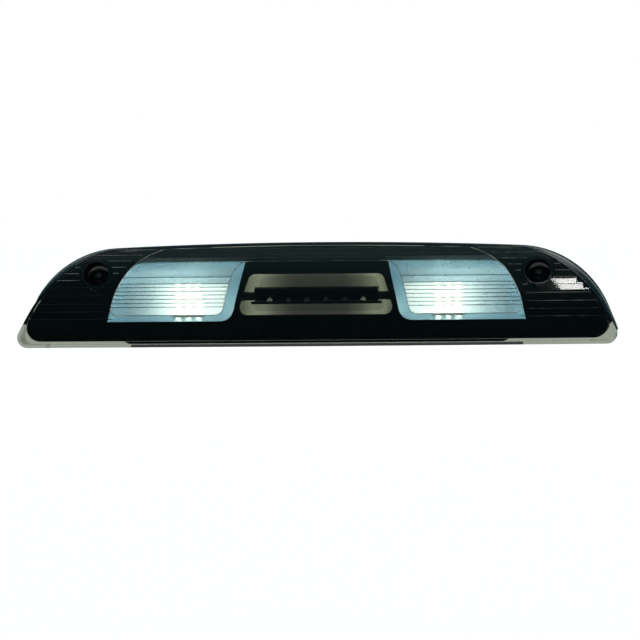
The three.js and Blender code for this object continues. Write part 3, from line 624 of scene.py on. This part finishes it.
def rod(points, radius):
    """A round rod through points of along and height that lies on the face, more than half sunk in it."""
    chain = draw([place(x, face_depth(x, z, radius * 0.6), z) for x, z in points], closed=False)
    take(chain)
    bpy.ops.object.convert(target="CURVE")
    line = bpy.context.object.data
    line.bevel_depth, line.bevel_resolution, line.use_fill_caps = radius * MM, 2, True
    bpy.ops.object.convert(target="MESH")
    return bpy.context.object


def end_limit(height):
    """How far out a rib may run: to just inside the edge between face and side."""
    points = [p for p in lamp_outline(0, 0, TOE) if p[0] > 120]
    nearest = min(points, key=lambda p: abs(p[1] - height))
    edge_depth = face_depth(nearest[0], height)
    return flare(nearest[0], edge_depth, height)[0] - FROM_EDGE


def inner_limit(height):
    """Where a rib starts beside the cargo optic."""
    outer_side = [p for p in optic_side() if p[0] > 114]
    nearest = min(outer_side, key=lambda p: abs(p[1] - height))
    return nearest[0] + FROM_OPTIC


def rib_spans(height):
    """A rib's start and end, or two of each where the screw well cuts it."""
    start, end = inner_limit(height), end_limit(height)
    off = height - WELL_Z
    if abs(off) >= CUP_RADIUS + 1:
        return [(start, end)]
    clear = math.sqrt((CUP_RADIUS + FROM_CUP) ** 2 - off * off)
    return [(start, WELL_X - clear), (WELL_X + clear, end)]


def stretch(start, end, height):
    steps = max(2, round((end - start) / 6))
    return [(start + (end - start) * i / steps, height) for i in range(steps + 1)]


spans = [(a, b, height) for height in RIBS for a, b in rib_spans(height) if b - a > 3]
right_ribs = join("lens_ribs_right", *[rod(stretch(*span), RIB_RADIUS) for span in spans])
left_ribs = mirrored(right_ribs, "lens_ribs_left")
top_rods = [rod(stretch(-half, half, height), TOP_RIB_RADIUS) for half, height in TOP_RIBS]
top_ribs = join("lens_ribs_top", *top_rods)
around = optic_side()
bead = join("optic_bead", rod(around + [(-x, z) for x, z in reversed(around)], RIB_RADIUS))
for piece in (right_ribs, left_ribs, top_ribs, bead):
    smooth(piece, 60)
    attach(piece, "root")
    print(piece.name, len(piece.data.polygons), "faces")

# %% [markdown]
# ## Lamp packages
# A white lamp package is a small square block with a round yellow phosphor window. One is modelled: a cube
# with bevelled edges, whose front face is inset and sunk, and a shallow disc in the recess. The others are
# copies of it.

# %% Cargo lamps
PACKAGE_SIZE, PACKAGE_HEIGHT, PACKAGE_DEPTH = 5.0, 1.5, 20.65
PITCH_ALONG, PITCH_UP = 7.5, 8


def lamp_package(name, centre):
    """Stands on its board with its front towards the lens."""
    bpy.ops.mesh.primitive_cube_add(size=1, location=centre)
    bpy.context.object.scale = (PACKAGE_SIZE * MM, PACKAGE_HEIGHT * MM, PACKAGE_SIZE * MM)
    block = settle(name)
    choose(block, "FACE", lambda mid, way: way.y < -0.9)
    bpy.ops.mesh.inset(thickness=0.55 * MM)
    bpy.ops.mesh.extrude_region_move(TRANSFORM_OT_translate={"value": (0, 0.35 * MM, 0)})
    bpy.ops.transform.resize(value=(0.86, 1, 0.86), center_override=centre)
    done()
    return smooth(break_edges(block, 0.25, 40))


def phosphor_disc(name, centre):
    bpy.ops.mesh.primitive_cylinder_add(
        vertices=32,
        radius=1.75 * MM,
        depth=0.5 * MM,
        location=centre + Vector((0, -0.5 * MM, 0)),
        rotation=(math.pi / 2, 0, 0),
    )
    return smooth(break_edges(settle(name), 0.12, 40))


first_centre = place(0, PACKAGE_DEPTH, BOARD_Z)
package_pattern = lamp_package("cargo_lamp_pattern", first_centre)
disc_pattern = phosphor_disc("phosphor_pattern", first_centre)
packages, phosphors = [], []
for side, word in SIDES:
    for i in range(9):
        column, row = i // 3 - 1, i % 3 - 1
        move = Vector(((side * BOARD_X + column * PITCH_ALONG) * MM, 0, row * PITCH_UP * MM))
        package = copy(package_pattern, f"cargo_lamp_{word}_{i + 1}", move)
        disc = copy(disc_pattern, f"phosphor_{word}_{i + 1}", move)
        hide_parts(f"cargo_led_{word}_{i + 1}")
        for piece in (package, disc):
            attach(piece, "root")
        packages.append(package)
        phosphors.append(disc)
bpy.data.objects.remove(package_pattern)
bpy.data.objects.remove(disc_pattern)
print("cargo lamps:", len(packages))

# %% [markdown]
# ## The light bar
# A dark bar crosses the brake window. Its smoked cover is a long block with a rounded front and rounded
# ends, hollow and open below, where six domed red lamps sit on the edge of a black board.

# %% Bar cover
BAR_LOW, BAR_HIGH, BAR_FRONT, BAR_BACK, BAR_HALF = 33.15, 43.9, 46.0, 35.3, 46.4
BAR_ROUND, BAR_END_ROUND, BAR_WALL = 4.2, 1.6, 1.2


def near(value, goal):
    return abs(value - goal) < 0.01


def top_front_edge(centre, way):
    along, depth, height = sizes_of(centre)
    return near(depth, BAR_FRONT) and near(height, BAR_HIGH)


def front_end_edge(centre, way):
    along, depth, height = sizes_of(centre)
    at_end = near(abs(along), BAR_HALF) and depth > 36
    return at_end and abs(way.x) < 0.1 and not near(height, BAR_LOW)


cover = box((-BAR_HALF, BAR_BACK, BAR_LOW), (BAR_HALF, BAR_FRONT, BAR_HIGH))
choose(cover, "EDGE", top_front_edge)
bpy.ops.mesh.bevel(offset=BAR_ROUND * MM, segments=8, affect="EDGES")
done()
choose(cover, "EDGE", front_end_edge)
bpy.ops.mesh.bevel(offset=BAR_END_ROUND * MM, segments=4, affect="EDGES")
done()
choose(cover, "FACE", lambda mid, way: way.z < -0.9 or way.y > 0.9)
bpy.ops.mesh.delete(type="FACE")
done()
modify(cover, "SOLIDIFY", thickness=BAR_WALL * MM, offset=-1)
for side in (-1, 1):
    end = side * BAR_HALF
    combine(cover, "DIFFERENCE", box((end - 2.6, 30, STRUT_ROOM_LOW), (end + 2.6, 38.8, STRUT_ROOM_HIGH)))
smooth(cover, 40)
cover.name = cover.data.name = "bar_cover"
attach(cover, "root")
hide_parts("led_bar_cover")
print("bar cover:", len(cover.data.polygons), "faces")

# %% Domed red lamps
LAMP_PITCH, LAMP_DEPTH, LEDGE_TOP = 13.95, 41.8, 33.4
red_lamps = []
for i in range(6):
    middle = place((i - 2.5) * LAMP_PITCH, LAMP_DEPTH, LEDGE_TOP + 0.85)
    bpy.ops.mesh.primitive_cube_add(size=1, location=middle)
    bpy.context.object.scale = (3.4 * MM, 2.8 * MM, 1.6 * MM)
    base = break_edges(settle(), 0.3, 30)
    dome_middle = middle + Vector((0, 0, 0.75 * MM))
    bpy.ops.mesh.primitive_uv_sphere_add(segments=28, ring_count=16, radius=1.2 * MM, location=dome_middle)
    lamp = smooth(join(f"brake_lamp_{i + 1}", combine(base, "UNION", settle())), 35)
    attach(lamp, "root")
    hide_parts(f"brake_led_{i + 1}")
    red_lamps.append(lamp)
print("red lamps:", len(red_lamps))

# %% [markdown]
# ## Mounting screws
# Each screw has a flanged head with a six-sided drive, and stands on a rubber washer on the well's floor.
# The head is a cylinder that a six-sided one is taken out of; the flange and the tapered shank are
# cylinders too, joined to it with a boolean union.

# %% Screws
WASHER, HEAD_HEIGHT, SHANK_END = 1.2, 3.8, 50
HEAD_RADIUS, FLANGE_RADIUS, DRIVE_RADIUS, DRIVE_DEPTH, SHANK_RADIUS = 4.4, 6.6, 2.7, 2.1, 2.7
head_top = WELL_DEPTH - GAP - WASHER - GAP - HEAD_HEIGHT
screws = []
for side, word in SIDES:
    head = well_bar(HEAD_RADIUS, head_top, head_top + 3.0, side, 48)
    flange = well_bar(FLANGE_RADIUS, head_top + 2.5, head_top + HEAD_HEIGHT, side, 64)
    break_edges(flange, 0.5, segments=3)
    combine(head, "DIFFERENCE", well_bar(DRIVE_RADIUS, head_top - 1, head_top + DRIVE_DEPTH, side, 6))
    break_edges(head, 0.35)
    shank = well_bar(SHANK_RADIUS, head_top + 3, SHANK_END, side, 32)
    choose(shank, "VERT", lambda mid, way: mid.y > 0.005)
    bpy.ops.transform.resize(value=(0.5, 1, 0.5), center_override=well_point(side, SHANK_END))
    done()
    screw = smooth(join(f"screw_{word}", combine(head, "UNION", flange, shank)))
    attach(screw, "root")
    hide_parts(f"mounting_screw_{word}")
    screws.append(screw)
print("screws:", [screw.name for screw in screws])

# %% [markdown]
# ## Finishes
# A material is a small network of nodes. To keep the sums readable, one class wraps a node's output so that
# ordinary arithmetic adds Math nodes, and one method adds any other node with its settings and inputs.
# Patterns read Object coordinates, which are metres here, so a noise scale of 400 gives features about two
# and a half millimetres across.

# %% Node helpers
class Link:
    """One output of a node. Arithmetic on it adds Math nodes."""

    def __init__(self, network, socket):
        self.network, self.socket = network, socket

    def reckon(self, operation, first, second=0.0):
        return self.network.node("ShaderNodeMath", {"operation": operation}, {0: first, 1: second})["Value"]

    __add__ = lambda self, other: self.reckon("ADD", self, other)
    __radd__ = lambda self, other: self.reckon("ADD", other, self)
    __sub__ = lambda self, other: self.reckon("SUBTRACT", self, other)
    __rsub__ = lambda self, other: self.reckon("SUBTRACT", other, self)
    __mul__ = lambda self, other: self.reckon("MULTIPLY", self, other)
    __rmul__ = lambda self, other: self.reckon("MULTIPLY", other, self)
    __abs__ = lambda self: self.reckon("ABSOLUTE", self)


class Network:
    """A tree of shader nodes, empty at first."""

    def __init__(self, tree):
        self.tree = tree
        tree.nodes.clear()

    def node(self, kind, settings={}, inputs={}):
        made = self.tree.nodes.new(kind)
        for name, value in settings.items():
            if name == "stops":
                self.set_stops(made.color_ramp, value)
            else:
                setattr(made, name, value)
        for key, value in inputs.items():
            socket = made.inputs[key]
            if isinstance(value, Link):
                self.tree.links.new(value.socket, socket)
            elif isinstance(value, tuple) and socket.type == "RGBA":
                socket.default_value = (*value, 1)
            else:
                socket.default_value = value
        return {output.name: Link(self, output) for output in made.outputs if output.enabled}

    def set_stops(self, ramp, stops):
        while len(ramp.elements) < len(stops):
            ramp.elements.new(0.5)
        for element, (position, color) in zip(ramp.elements, stops):
            element.position, element.color = position, (*color, 1)

    def ramp(self, factor, *stops):
        return self.node("ShaderNodeValToRGB", {"stops": stops}, {"Fac": factor})["Color"]

    def mix(self, blend, first, second, factor=1.0):
        settings = {"data_type": "RGBA", "blend_type": blend}
        return self.node("ShaderNodeMix", settings, {0: factor, 6: first, 7: second})["Result"]


class Finish(Network):
    """A material, whose patterns follow Object coordinates."""

    def __init__(self, name):
        self.material = bpy.data.materials.new(name)
        self.material.use_nodes = True
        super().__init__(self.material.node_tree)
        self.place = self.node("ShaderNodeTexCoord")["Object"]

    def axis(self, letter):
        return self.node("ShaderNodeSeparateXYZ", {}, {0: self.place})[letter]

    def noise(self, scale, detail=4.0, roughness=0.55, stretch_by=None):
        where = self.place
        if stretch_by:
            where = self.node("ShaderNodeMapping", {}, {"Vector": where, "Scale": stretch_by})["Vector"]
        inputs = {"Vector": where, "Scale": scale, "Detail": detail, "Roughness": roughness}
        return self.node("ShaderNodeTexNoise", {}, inputs)["Fac"]

    def bump(self, height, strength, distance):
        inputs = {"Height": height, "Strength": strength, "Distance": distance * MM}
        return self.node("ShaderNodeBump", {}, inputs)["Normal"]

    def skin(self, **inputs):
        """A Principled surface; each input is named after its socket, with underscores for spaces."""
        named = {name.replace("_", " "): value for name, value in inputs.items()}
        return self.node("ShaderNodeBsdfPrincipled", {}, named)["BSDF"]

    def show(self, shader):
        self.node("ShaderNodeOutputMaterial", {}, {"Surface": shader})
        return self.material

    def show_filtered(self, surface, tint):
        """Shows the surface to the eye, and a tinted clear filter to the rays that look for a light."""
        clear = self.node("ShaderNodeBsdfTransparent", {}, {"Color": tint})["BSDF"]
        shadow = self.node("ShaderNodeLightPath")["Is Shadow Ray"]
        return self.show(self.node("ShaderNodeMixShader", {}, {0: shadow, 1: surface, 2: clear})["Shader"])


def dress(material, *pieces):
    for piece in pieces:
        piece.data.materials.clear()
        piece.data.materials.append(material)
    print(material.name, "on", len(pieces), "pieces")


def dress_faces(material, piece, test):
    """Gives a second material to the faces that pass a test."""
    piece.data.materials.append(material)
    chosen = [face for face in piece.data.polygons if test(face.center, face.normal)]
    for face in chosen:
        face.material_index = 1
    print(material.name, "on", len(chosen), "faces of", piece.name)


# %% [markdown]
# ### Smoked lens
# Tinted clear plastic: a smooth transmitting surface with a grey-green tint. Light that only wants to know
# whether it reaches a piece behind the lens cannot bend through it cheaply, so for those rays the surface
# is a tinted clear filter. Faint haze in the roughness stops the reflections from looking like perfect
# glass.

# %% Lens material
PLASTIC_IOR = 1.49


def clear_plastic(name, tint, shadow_tint, low, high):
    finish = Finish(name)
    haze = finish.noise(160, 3.0) * (high - low) + low
    surface = finish.skin(Base_Color=tint, Roughness=haze, IOR=PLASTIC_IOR, Transmission_Weight=1.0)
    return finish.show_filtered(surface, shadow_tint)


dress(clear_plastic("lens_smoke", (0.285, 0.305, 0.25), (0.42, 0.45, 0.40), 0.01, 0.05), lens)
dress(clear_plastic("cover_smoke", (0.06, 0.075, 0.075), (0.12, 0.14, 0.14), 0.02, 0.07), cover)

# %% [markdown]
# ### Lit optics
# The valleys between flutes send light aside, so a thin line of painted shade is drawn along each. A painted
# glow stands in for the lamps' light that the frosted optic scatters towards the viewer: white in front of
# the lamps, and a dimmer blue over the rest. The white glow and the blue glow are each one profile along the
# lamp times one profile up it, with the places written in millimetres.

# %% Fluted optic
OPTIC_LOW, OPTIC_HIGH, OPTIC_NEAR, OPTIC_FAR = 15.0, 70.0, 50.0, 160.0
optic = Finish("optic_clear_painted_glow")
up = (optic.axis("Z") - (foot + OPTIC_LOW * MM)) * (1 / ((OPTIC_HIGH - OPTIC_LOW) * MM))
out = (abs(optic.axis("X")) - OPTIC_NEAR * MM) * (1 / ((OPTIC_FAR - OPTIC_NEAR) * MM))


def profile(factor, low, high, *points):
    """A ramp whose stops are places in millimetres and grey levels."""
    return optic.ramp(factor, *[((at - low) / (high - low), (level, level, level)) for at, level in points])


def profile_out(*points):
    return profile(out, OPTIC_NEAR, OPTIC_FAR, *points)


def profile_up(*points):
    return profile(up, OPTIC_LOW, OPTIC_HIGH, *points)


# Painted shade: the colour drops to a dark line along each flute valley.
painted_valley_shade = ((-0.55, 0.95), (0.0, 0.10), (0.55, 0.95))
painted_flute_shade = profile_up(*[(height + offset, level) for height in FLUTES[:10] for offset, level in painted_valley_shade])
# Painted glow: this emission stands in for the lamps' light scattered by the optic, white in front of the
# lamps and blue over the rest.
painted_glow = optic.mix(
    "MULTIPLY",
    profile_out((62, 0.40), (76, 0.52), (86, 0.60), (108, 0.60), (117, 0.32), (126, 0.10), (142, 0.0)),
    profile_up((19, 0.1), (23, 1.0), (44.5, 1.0), (47, 0.16), (51, 0.0)),
)
painted_spill = optic.mix(
    "MULTIPLY",
    profile_out((60, 0.2), (76, 0.55), (90, 0.9), (112, 1.0), (134, 0.7), (150, 0.35)),
    profile_up((22, 0.6), (40, 0.85), (50, 1.0), (55, 0.95), (60, 0.2), (66, 0.08)),
)
painted_scatter = optic.mix("ADD", painted_glow, optic.mix("MULTIPLY", painted_spill, (0.175, 0.262, 0.325)))
optic_surface = optic.skin(
    Base_Color=painted_flute_shade,
    Roughness=optic.noise(120) * 0.08 + 0.24,
    IOR=PLASTIC_IOR,
    Transmission_Weight=1.0,
    Emission_Color=optic.mix("MULTIPLY", painted_scatter, painted_flute_shade),
    Emission_Strength=2.0,
)
dress(optic.show_filtered(optic_surface, (0.85, 0.86, 0.86)), *optics)


# %% Ribs and beads of the lens
def rib_painted_highlight(name, dull, painted_highlight_colour, low=0.0, high=1.0):
    """Frosted edges with a painted highlight: lighter in short broken stretches, and less of it below a
    height.
    """
    finish = Finish(name)
    heights = {"From Min": foot + low * MM, "From Max": foot + high * MM, "To Min": 0.35}
    share = finish.node("ShaderNodeMapRange", {}, {"Value": finish.axis("Z"), **heights})["Result"]
    painted_highlight_breaks = finish.noise(55, 5.0, 0.7, (1.0, 2.0, 6.0)) * share
    surface = finish.skin(
        Base_Color=finish.ramp(painted_highlight_breaks, (0.3, dull), (0.68, painted_highlight_colour)),
        Roughness=finish.noise(300) * 0.2 + 0.12,
        IOR=PLASTIC_IOR,
        Specular_IOR_Level=0.15,
    )
    return finish.show(surface)


# The ribs and the bead carry painted highlights: each side gets its own brightness, the left end brightest
# and the top dimmest, and the bead a bright warm one.
dress(rib_painted_highlight("rib_frost_painted_highlight_left", (0.004, 0.006, 0.006), (0.42, 0.40, 0.34), 43, 51), left_ribs)
dress(rib_painted_highlight("rib_frost_painted_highlight_right", (0.006, 0.008, 0.008), (0.34, 0.34, 0.29), 5, 48), right_ribs)
dress(rib_painted_highlight("rib_frost_painted_highlight_top", (0.008, 0.010, 0.009), (0.10, 0.10, 0.085)), top_ribs)
dress(rib_painted_highlight("bead_frost_painted_highlight", (0.10, 0.09, 0.07), (0.80, 0.70, 0.55)), bead)


# %% [markdown]
# ### Moulded black plastics
# The bezel is satin black and the housing behind it is a plainer black with a fine spark-eroded grain. Both
# get slow variation in roughness, since moulded plastic never has one even sheen, and the grain is a bump
# from fine noise. Some edges get a black of their own: the weld along the lens's rear edge, the seam where
# its lip meets the seal, and the foot of the bar cover, which is glued to the board all round.

# %% Black plastics
def black_plastic(name, dark, light, rough, grain, grain_scale=2600):
    finish = Finish(name)
    cloud = finish.noise(35, 4.0)
    surface = finish.skin(
        Base_Color=finish.ramp(cloud, (0.3, dark), (0.75, light)),
        Roughness=cloud * 0.14 + rough,
        IOR=1.5,
        Normal=finish.bump(finish.noise(grain_scale, 2.0), grain, 0.05),
    )
    return finish.show(surface)


bezel_satin = black_plastic("bezel_satin", (0.0030, 0.0045, 0.0050), (0.0042, 0.0062, 0.0068), 0.30, 0.08)
moulded_black = black_plastic("moulded_black", (0.010, 0.011, 0.012), (0.018, 0.019, 0.020), 0.42, 0.35, 1800)
well_black = black_plastic("well_black", (0.0028, 0.0042, 0.0045), (0.0045, 0.0060, 0.0065), 0.12, 0.05)
bar_black = black_plastic("bar_black", (0.006, 0.008, 0.009), (0.011, 0.013, 0.014), 0.32, 0.1)
rubber = black_plastic("rubber", (0.008, 0.008, 0.008), (0.014, 0.014, 0.014), 0.68, 0.3, 1200)
dress(bezel_satin, bezel)
dress(moulded_black, nodes["rear_housing"], nodes["connector_socket"])
dress(well_black, *well_cups)
dress(bar_black, nodes["led_bar_carrier"], nodes["brake_board"])
dress(rubber, nodes["lower_seal"], nodes["vent_cap"], nodes["screw_seal_left"], nodes["screw_seal_right"])
dress(rubber, nodes["cargo_lead_left"], nodes["cargo_lead_right"], nodes["brake_lead"])


# %% Weld, seam and glued foot
def weld_or_seam(centre, normal):
    along, depth, height = sizes_of(centre)
    weld = on_rear_edge(centre, normal) and height > WELD_LOW
    seam = normal.y > 0.5 and 20 < depth < 50 and height < LIP_WALL + 0.1 and -140 < along < 152
    return weld or seam


def glued_foot(centre, normal):
    return normal.z < -0.9 and sizes_of(centre)[2] < BAR_LOW + 0.2


dress_faces(moulded_black, lens, weld_or_seam)
dress_faces(bar_black, cover, glued_foot)

# %% Foam gasket
foam = Finish("closed_cell_foam")
cells = foam.node("ShaderNodeTexVoronoi", {}, {"Vector": foam.place, "Scale": 1500.0})["Distance"]
foam_surface = foam.skin(
    Base_Color=foam.ramp(cells, (0.0, (0.012, 0.012, 0.013)), (0.6, (0.035, 0.035, 0.037))),
    Roughness=0.92,
    Normal=foam.bump(cells, 0.6, 0.12),
)
dress(foam.show(foam_surface), nodes["seat_gasket"])


# %% [markdown]
# ### Reflectors and lamps
# The cargo cups are lit by their own lamps. Their bright metal skin is bluish and slightly rough, so that the
# light spreads over it, and a painted glow, brightest at the back, stands in for more of the lamps' light on
# it. The brake cup's lamps give almost no light: its skin is satin metal with a warm grey cast, and a painted
# glow makes it brighter near its ends. Phosphor discs give the light.

# %% Metallised cups
def metal_skin(name, dark, light, rough, painted_glow, strength, letter, reach):
    """Satin metal with a painted glow that stands in for lamp light and follows a ramp along one axis, from
    the middle out to a reach.
    """
    finish = Finish(name)
    cloud = finish.noise(22, 3.0, 0.5, (1.0, 1.0, 3.0))
    surface = finish.skin(
        Base_Color=finish.ramp(cloud, (0.3, dark), (0.7, light)),
        Metallic=0.7,
        Roughness=finish.noise(240) * 0.12 + rough,
        Emission_Color=finish.ramp(abs(finish.axis(letter)) * (1 / (reach * MM)), *painted_glow),
        Emission_Strength=strength,
        Normal=finish.bump(finish.noise(700, 3.0), 0.12, 0.05),
    )
    return finish.show(surface)


# Painted glow: stops for the cups' emission, lighter where lamp light would fall.
cargo_painted_glow = ((0.33, (0.34, 0.52, 0.64)), (0.42, (0.27, 0.45, 0.59)), (0.9, (0.25, 0.44, 0.58)))
brake_painted_glow = (
    (0.0, (0.17, 0.16, 0.165)),
    (0.36, (0.18, 0.17, 0.17)),
    (0.56, (0.45, 0.46, 0.40)),
    (0.72, (0.96, 1.0, 0.84)),
    (0.84, (0.90, 0.94, 0.80)),
    (0.96, (0.35, 0.38, 0.32)),
)
cargo_metal = ("cargo_metal", (0.50, 0.68, 0.80), (0.64, 0.82, 0.93), 0.28)
brake_metal = ("brake_metal", (0.52, 0.53, 0.49), (0.66, 0.66, 0.61), 0.34)
dress(metal_skin(*cargo_metal, cargo_painted_glow, 0.60, "Y", 60), *cargo_cups)
dress(metal_skin(*brake_metal, brake_painted_glow, 0.42, "X", 58), brake_cup)

# %% Phosphor
phosphor = Finish("phosphor")
phosphor_surface = phosphor.skin(
    Base_Color=phosphor.ramp(phosphor.noise(900), (0.3, (0.80, 0.74, 0.35)), (0.7, (0.92, 0.88, 0.55))),
    Roughness=0.5,
    Emission_Color=(0.92, 1.0, 1.0),
    Emission_Strength=18.0,
)
dress(phosphor.show(phosphor_surface), *phosphors)


# %% Small parts
def plain(name, dark, light, rough, metallic=0.0, scale=300.0, painted_glow=0.0):
    finish = Finish(name)
    cloud = finish.noise(scale)
    surface = finish.skin(
        Base_Color=finish.ramp(cloud, (0.3, dark), (0.7, light)),
        Metallic=metallic,
        Roughness=cloud * 0.15 + rough,
        Emission_Color=(1.0, 0.95, 0.85),
        Emission_Strength=painted_glow,
        Normal=finish.bump(finish.noise(scale * 4), 0.1, 0.05),
    )
    return finish.show(surface)


DOME_DARK, DOME_LIGHT = (0.50, 0.46, 0.38), (0.72, 0.68, 0.58)
dress(plain("led_ceramic", (0.82, 0.84, 0.82), (0.9, 0.92, 0.9), 0.35), *packages)
solder_mask = plain("white_solder_mask", (0.72, 0.78, 0.80), (0.82, 0.87, 0.88), 0.3)
dress(solder_mask, nodes["cargo_board_left"], nodes["cargo_board_right"])
# Painted glow: the brake lamps are off, so the domes' emission is painted light; the two end domes get a
# stronger one, a painted reflection of the cargo lamps' light.
dress(plain("red_lamp_dome", DOME_DARK, DOME_LIGHT, 0.15, painted_glow=0.5), *red_lamps[1:-1])
dress(plain("red_lamp_dome_painted_reflection", DOME_DARK, DOME_LIGHT, 0.15, painted_glow=5.0), red_lamps[0], red_lamps[-1])
black_zinc = plain("black_zinc", (0.022, 0.024, 0.026), (0.050, 0.052, 0.055), 0.20, 1.0, 500.0)
zinc = plain("zinc_plate", (0.36, 0.37, 0.38), (0.52, 0.52, 0.53), 0.24, 1.0, 500.0)
dress(black_zinc, *screws)
dress(zinc, nodes["screw_sleeve_left"], nodes["screw_sleeve_right"])
dress(zinc, *[nodes[f"reflector_screw_{i}"] for i in range(1, 7)])
tin = plain("tinned_pin", (0.62, 0.61, 0.57), (0.78, 0.77, 0.73), 0.2, 1.0, 900.0)
dress(tin, *[nodes[f"connector_pin_{i}"] for i in range(1, 5)])

# %% [markdown]
# ## Light, floor and camera
# The lamp stands on a plain pale floor in front of a white backdrop. The studio in front of it is dark, so
# the glossy lens stays black. The world's colour depends on direction and on the ray: it is white for the
# camera, white behind the lamp for rays that have passed through the lens, and light in a strip behind and
# above for reflections that skim the lamp's edges. All the rest is a dim blue, a little lighter above. A
# weak soft light overhead lifts the top, and a small window in front leaves a highlight on the right end.

# %% World
world = bpy.data.worlds.new("studio")
bpy.context.scene.world = world
world.use_nodes = True
sky = Network(world.node_tree)
way = sky.node("ShaderNodeSeparateXYZ", {}, {0: sky.node("ShaderNodeTexCoord")["Generated"]})
path = sky.node("ShaderNodeLightPath")


def between(value, low, high):
    """Rises softly from 0 to 1 between two values."""
    inputs = {"Value": value, "From Min": low, "From Max": high}
    return sky.node("ShaderNodeMapRange", {"interpolation_type": "SMOOTHSTEP"}, inputs)["Result"]


passed = path["Transmission Depth"]
through = between(way["Y"], 0.75, 0.93) * passed.reckon("MINIMUM", passed, 1.0)
skimmed = between(way["Y"], 0.86, 0.95) * between(way["Z"], 0.22, 0.37) * 0.55
lit = through.reckon("MAXIMUM", through, skimmed)
white = lit.reckon("MAXIMUM", lit, path["Is Camera Ray"])
dim_stops = ((0.0, (0.008, 0.022, 0.032)), (0.75, (0.035, 0.080, 0.100)), (1.0, (0.085, 0.175, 0.190)))
colour = sky.mix("MIX", sky.ramp(way["Z"], *dim_stops), (1.0, 1.0, 1.0), white)
shine = sky.node("ShaderNodeBackground", {}, {"Color": colour, "Strength": 1.0})["Background"]
sky.node("ShaderNodeOutputWorld", {}, {"Surface": shine})
print("world nodes:", len(world.node_tree.nodes))

# %% Floor
FLOOR_BELOW = 0.0004
bpy.ops.mesh.primitive_plane_add(size=12, location=(0, 0, foot - FLOOR_BELOW))
floor = settle("studio_floor")
pale = Finish("pale_floor")
white_paper = {"Base_Color": (0.9, 0.9, 0.9), "Emission_Color": (1.0, 1.0, 1.0)}
dress(pale.show(pale.skin(**white_paper, Roughness=0.8, Emission_Strength=0.95)), floor)
floor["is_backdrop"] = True


# %% Soft lights
def from_front(turn, rise):
    """The direction that lies to the right of straight ahead by one angle, and up by another."""
    return Vector((math.sin(turn) * math.cos(rise), -math.cos(turn) * math.cos(rise), math.sin(rise)))


def soft_light(name, where, aim_at, size, power, colour=(1, 1, 1)):
    light = bpy.data.lights.new(name, "AREA")
    light.shape, light.size, light.size_y = "RECTANGLE", size[0], size[1]
    light.energy, light.color = power, colour
    lamp = bpy.data.objects.new(name, light)
    bpy.context.collection.objects.link(lamp)
    lamp.location = where
    lamp.rotation_euler = (Vector(aim_at) - Vector(where)).to_track_quat("-Z", "Y").to_euler()
    print(name, "at", [round(v, 2) for v in where])


soft_light("overhead", (0, -0.15, 1.3), (0, 0, 0.02), (1.6, 0.5), 0.28, (0.75, 0.95, 1.0))
right_end = place(190, 45, 47)
window_way = from_front(math.radians(9.5), math.radians(43.8))
soft_light("small_window", right_end + window_way * 1.3, right_end, (0.05, 0.24), 0.6)

# %% Camera
CAMERA_TURN, CAMERA_RISE, CAMERA_ROLL = math.radians(3.6), math.radians(1.3), math.radians(-0.53)
CAMERA_FAR, VIEW_WIDTH, SENSOR = 6.0, 0.48, 36
target = place(1.1, 20, 18.7)
camera = bpy.data.objects.new("camera", bpy.data.cameras.new("camera"))
bpy.context.collection.objects.link(camera)
back = from_front(CAMERA_TURN, CAMERA_RISE)
camera.location = target + back * CAMERA_FAR
across = Vector((math.cos(CAMERA_TURN), math.sin(CAMERA_TURN), 0))
turned = (across, back.cross(across), back)  # the camera's own X, Y and Z, before it is rolled
camera.rotation_euler = (Matrix(turned).transposed() @ Matrix.Rotation(CAMERA_ROLL, 3, "Z")).to_euler()
camera.data.sensor_width = SENSOR
camera.data.lens = SENSOR * CAMERA_FAR / VIEW_WIDTH
camera.data.clip_end = 50
bpy.context.scene.camera = camera
bpy.context.scene.view_settings.view_transform = "Standard"
print("camera at", [round(v, 2) for v in camera.location])

# %% [markdown]
# ## Sizes
# The finished lamp must be as big as the measured one, so the two boxes are compared and their difference is
# printed.

# %% Print the size difference
shown_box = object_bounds()
differences = [[round((a - b) / MM, 2) for a, b in zip(s, m)] for s, m in zip(shown_box, measured_box)]
print("size difference, mm:", differences)
